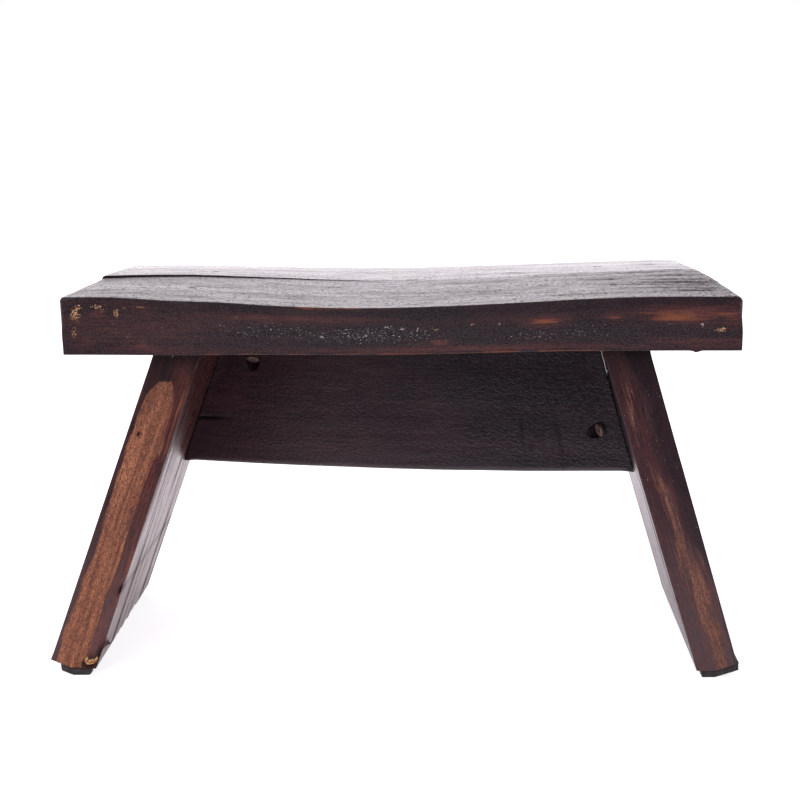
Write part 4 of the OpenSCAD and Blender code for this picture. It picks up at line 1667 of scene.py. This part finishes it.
@dataclass
class Stopping:
    """The stopping over two nails: a disc in each hole, pressed nearly flush with the wood."""

    node: str
    places: list[Array]
    axis: Array
    normal: Array
    seed: int
    radius: float = 2.36
    hole: float = 2.4
    deep: float = 3.4
    overrun: float = 5.0
    pressed: float = 0.22

    def cutters(self) -> list[Skin]:
        """The holes themselves, a little wider than the stopping.

        Returns:
            Two round bars along the nails.
        """
        low, high = -self.deep, self.overrun
        points, faces = lathe([(0, low), (self.hole, low), (self.hole, high), (0, high)], 28)
        return [(aimed(points, place, self.axis), faces) for place in self.places]

    def build(self) -> bpy.types.Object:
        """Makes the discs.

        Each disc's upper points slide along the nail to the wood's plane, less how deep it
        is pressed and a small relief.

        Returns:
            One dressed piece for both holes.
        """
        r = self.radius
        rows = [(0.0, -self.deep), (r, -self.deep), (r, -1.8), (r, -0.2)]
        rows += [(inner, 0.0) for inner in (2.2, 2.0, 1.6, 1.2, 0.8, 0.4, 0.0)]
        parts = []
        for n, place in enumerate(self.places):
            points, faces = lathe(rows, 28)
            cracked = 0.16 * relief(points + 9 * n, (1.1, 1.1, 9), self.seed + n)
            height = points[:, 2] - self.pressed + cracked
            world = aimed(points, place, self.axis)
            slide = (height - (world - place) @ self.normal) / (self.axis @ self.normal)
            world += np.where(points[:, 2] > -1.0, slide, 0)[:, None] * self.axis
            parts.append((world, faces))
        disc = new_mesh(f"{self.node}_pressed", *joined(parts))
        put_in_place(disc, self.node, FILLER.material(), degrees=50)
        return disc


# The studio


@dataclass
class Studio:
    """A white floor, a bright wall behind, a dim room in front, and the camera.

    The camera's place is in the frame's millimetres and its angles are in radians. The
    floor, the wall and the lamp are in metres.
    """

    focal_px: float = 1452.28
    frame_px: float = 800.0
    sensor: float = 36.0
    tilt: float = math.radians(10.828)
    yaw: float = math.radians(-1.531)
    roll: float = math.radians(-0.683)
    place: tuple[float, float, float] = (24.98, -841.31, 303.58)
    half_wide: float = 3.0
    near: float = -0.3
    far: float = 2.6
    tall: float = 2.8
    lamp_size: tuple[float, float] = (1.4, 1.0)
    lamp_watts: float = 9.0
    lamp_place: tuple[float, float, float] = (-0.7, -1.1, 1.3)
    lamp_aim: tuple[float, float, float] = (0.0, 0.0, 0.12)

    def camera(self) -> None:
        """Sets the camera where the picture was taken from."""
        data = bpy.data.cameras.new("camera")
        data.sensor_width = self.sensor
        data.lens = self.focal_px / self.frame_px * self.sensor
        data.clip_start, data.clip_end = 0.01, 50
        right = Vector((math.cos(self.yaw), -math.sin(self.yaw), 0))
        level = Vector((math.sin(self.yaw), math.cos(self.yaw), 0))
        ahead = math.cos(self.tilt) * level - math.sin(self.tilt) * Vector((0, 0, 1))
        up = math.sin(self.tilt) * level + math.cos(self.tilt) * Vector((0, 0, 1))
        side = math.cos(self.roll) * right + math.sin(self.roll) * up
        top = -math.sin(self.roll) * right + math.cos(self.roll) * up
        camera = shown("camera", data)
        turn = Matrix((side, top, -ahead)).transposed().to_4x4()
        camera.matrix_world = Matrix.Translation(Vector(self.place) * MM) @ turn
        bpy.context.scene.camera = camera

    def sheet(
        self, name: str, corners: list[tuple[float, float, float]], material: bpy.types.Material
    ) -> bpy.types.Object:
        """Makes one flat sheet of the studio.

        Args:
            name: its name.
            corners: its corners in turn, in metres.
            material: its finish.

        Returns:
            The sheet.
        """
        mesh = bpy.data.meshes.new(name)
        mesh.from_pydata(corners, [], [(0, 1, 2, 3)])
        mesh.materials.append(material)
        thing = shown(name, mesh)
        return thing

    def floor(self) -> None:
        """A white floor that keeps a faint shadow: plain paint, lifted to white for the eye."""
        material = new_material("white_floor_paper")
        node = partial(add, material.node_tree)
        seen = node(Kind.HIGHER, node(Kind.CAMERA_RAY), node(Kind.GLOSSY_RAY))
        tint = node(Kind.BLEND, node(Kind.CAMERA_RAY), linear("#fff6fc"), linear("#f9f9fb"))
        lift = node(Kind.GLOW, tint, node(Kind.TIMES, seen, 0.81))
        node(Kind.SURFACE, node(Kind.BOTH, node(Kind.PAINT, linear("#eaeaea")), lift))
        wide, near, far = self.half_wide, self.near, self.far
        corners = [(-wide, near, 0), (wide, near, 0), (wide, far, 0), (-wide, far, 0)]
        self.sheet("floor", corners, material)

    def wall(self) -> None:
        """A bright wall behind, which the camera doesn't see but the lacquer does."""
        material = new_material("bright_wall")
        node = partial(add, material.node_tree)
        node(Kind.SURFACE, node(Kind.GLOW, linear("#fff8fe"), 1.62))
        wide, far, tall = self.half_wide, self.far, self.tall
        corners = [(-wide, far, 0), (wide, far, 0), (wide, far, tall), (-wide, far, tall)]
        wall = self.sheet("wall", corners, material)
        wall.visible_camera = False

    def light(self) -> None:
        """Even soft light from all round, with a large soft lamp above and in front."""
        world = bpy.data.worlds.new("studio_air")
        world.use_nodes = True
        world.node_tree.nodes.clear()
        node = partial(add, world.node_tree)
        seen = node(Kind.CAMERA_RAY)
        level = node(Kind.SPREAD, node(Kind.GLOSSY_RAY), 0.0, 1.0, 0.62, 0.20)
        tint = node(Kind.BLEND, seen, linear("#fff3fd"), linear("#ffffff"))
        node(Kind.WORLD, node(Kind.AIR, tint, node(Kind.HIGHER, level, seen)))
        bpy.context.scene.world = world
        lamp = bpy.data.lights.new("soft_lamp", "AREA")
        lamp.shape = "RECTANGLE"
        lamp.size, lamp.size_y = self.lamp_size
        lamp.energy = self.lamp_watts
        holder = shown("soft_lamp", lamp)
        holder.location = self.lamp_place
        aim = Vector(self.lamp_aim) - holder.location
        holder.rotation_euler = aim.to_track_quat("-Z", "Y").to_euler()

    def build(self) -> None:
        """Sets the studio up."""
        self.camera()
        self.floor()
        self.wall()
        self.light()
        bpy.context.scene.view_settings.view_transform = "Standard"


# The stool


@dataclass
class Stool:
    """The whole stool: its boards, pads and fastenings."""

    seat: SeatPlank = field(default_factory=SeatPlank)
    rail: Stretcher = field(default_factory=Stretcher)
    left: LegBoard = field(default_factory=lambda: LegBoard(
        Side.LEFT, thick=25.6, foot_thick=25.6, splay=math.radians(20.3), flat=13, rise=4.8,
        out_x=41.5 - SEAT_LONG / 2, setback=26.6, turn=0, pad_wide=15.5, pad_inset=4,
        node="left_leg", finish=LEFT_LEG_STAIN, nail_shares=(0.18, 0.77), nail_ups=(28.88, 28.58),
        hollow_top=1.4,
    ))
    right: LegBoard = field(default_factory=lambda: LegBoard(
        Side.RIGHT, thick=24.2, foot_thick=22.4, splay=math.radians(16.3), flat=10, rise=4,
        out_x=SEAT_LONG / 2 - 43.9, setback=22.1, turn=math.radians(1.35), pad_wide=20.5,
        pad_inset=3, node="right_leg", finish=RIGHT_LEG_STAIN, nail_shares=(0.22, 0.90),
        nail_ups=(28.73, 28.31), thin_top=2.2,
    ))
    lower_pocket: Pocket = field(default_factory=lambda: Pocket(along=224.0, up=-58.0, climb=20))
    upper_pocket: Pocket = field(default_factory=lambda: Pocket(along=14.0, up=-22.5, climb=90))
    steel_nodes: tuple[str, ...] = (
        "left_leg_seat_nails", "right_leg_seat_nails", "stretcher_end_nails", "foot_tacks_left",
        "foot_tacks_right",
    )

    def stoppings(self) -> list[Stopping]:
        """The stopping over the nails.

        Returns:
            The seat's over the left leg, the seat's over the right leg, and the left leg's.
        """
        top = np.array([0.0, 0.0, 1.0])
        sides = [
            Stopping(f"{leg.node}_seat_fillers", leg.nail_places(), leg.upward(), top, seed)
            for leg, seed in ((self.left, 101), (self.right, 103))
        ]
        out = np.array([-math.cos(self.rail.skew), math.sin(self.rail.skew), 0.0])
        lean = np.array([-math.cos(self.left.splay), 0.0, math.sin(self.left.splay)])
        places = self.rail.end_nail_places(self.left)
        return [*sides, Stopping("stretcher_end_fillers", places, out, lean, 105)]

    def build(self) -> list[bpy.types.Object]:
        """Makes every piece in order.

        Returns:
            The pieces.
        """
        over_left, over_right, at_end = stoppings = self.stoppings()
        pockets = [pocket.cutter(self.rail) for pocket in (self.lower_pocket, self.upper_pocket)]
        pieces = [
            self.seat.build(over_left.cutters() + over_right.cutters()),
            self.left.build(at_end.cutters()),
            self.right.build([]),
            self.rail.build(self.left, self.right, pockets),
            self.lower_pocket.screw(self.rail, "right_pocket_screw"),
            self.upper_pocket.screw(self.rail, "upper_pocket_screw"),
        ]
        pieces += [stopping.build() for stopping in stoppings]
        starts = (("front", PAD_SETBACK), ("rear", LEG_WIDTH - PAD_SETBACK - PAD_LONG))
        for n, (leg, (end, start)) in enumerate(itertools.product((self.left, self.right), starts)):
            pieces.append(leg.pad(f"foot_pad_{end}_{leg.side.name.lower()}", start, 200 + 10 * n))
        return pieces

    def dress_fasteners(self) -> None:
        """Gives the steel nails and tacks, which keep their solids, their finish."""
        steel = NAIL_STEEL.material()
        for name in self.steel_nodes:
            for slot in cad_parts[name].material_slots:
                slot.material = steel


def main() -> None:
    """Builds the stool and its studio, and reports each piece."""
    logging.basicConfig(level=logging.INFO, format="%(name)s: %(message)s")
    Studio().build()
    stool = Stool()
    for piece in stool.build():
        log.info("%s: %d faces", piece.name, len(piece.data.polygons))
    stool.dress_fasteners()


if __name__ == "__main__":
    main()
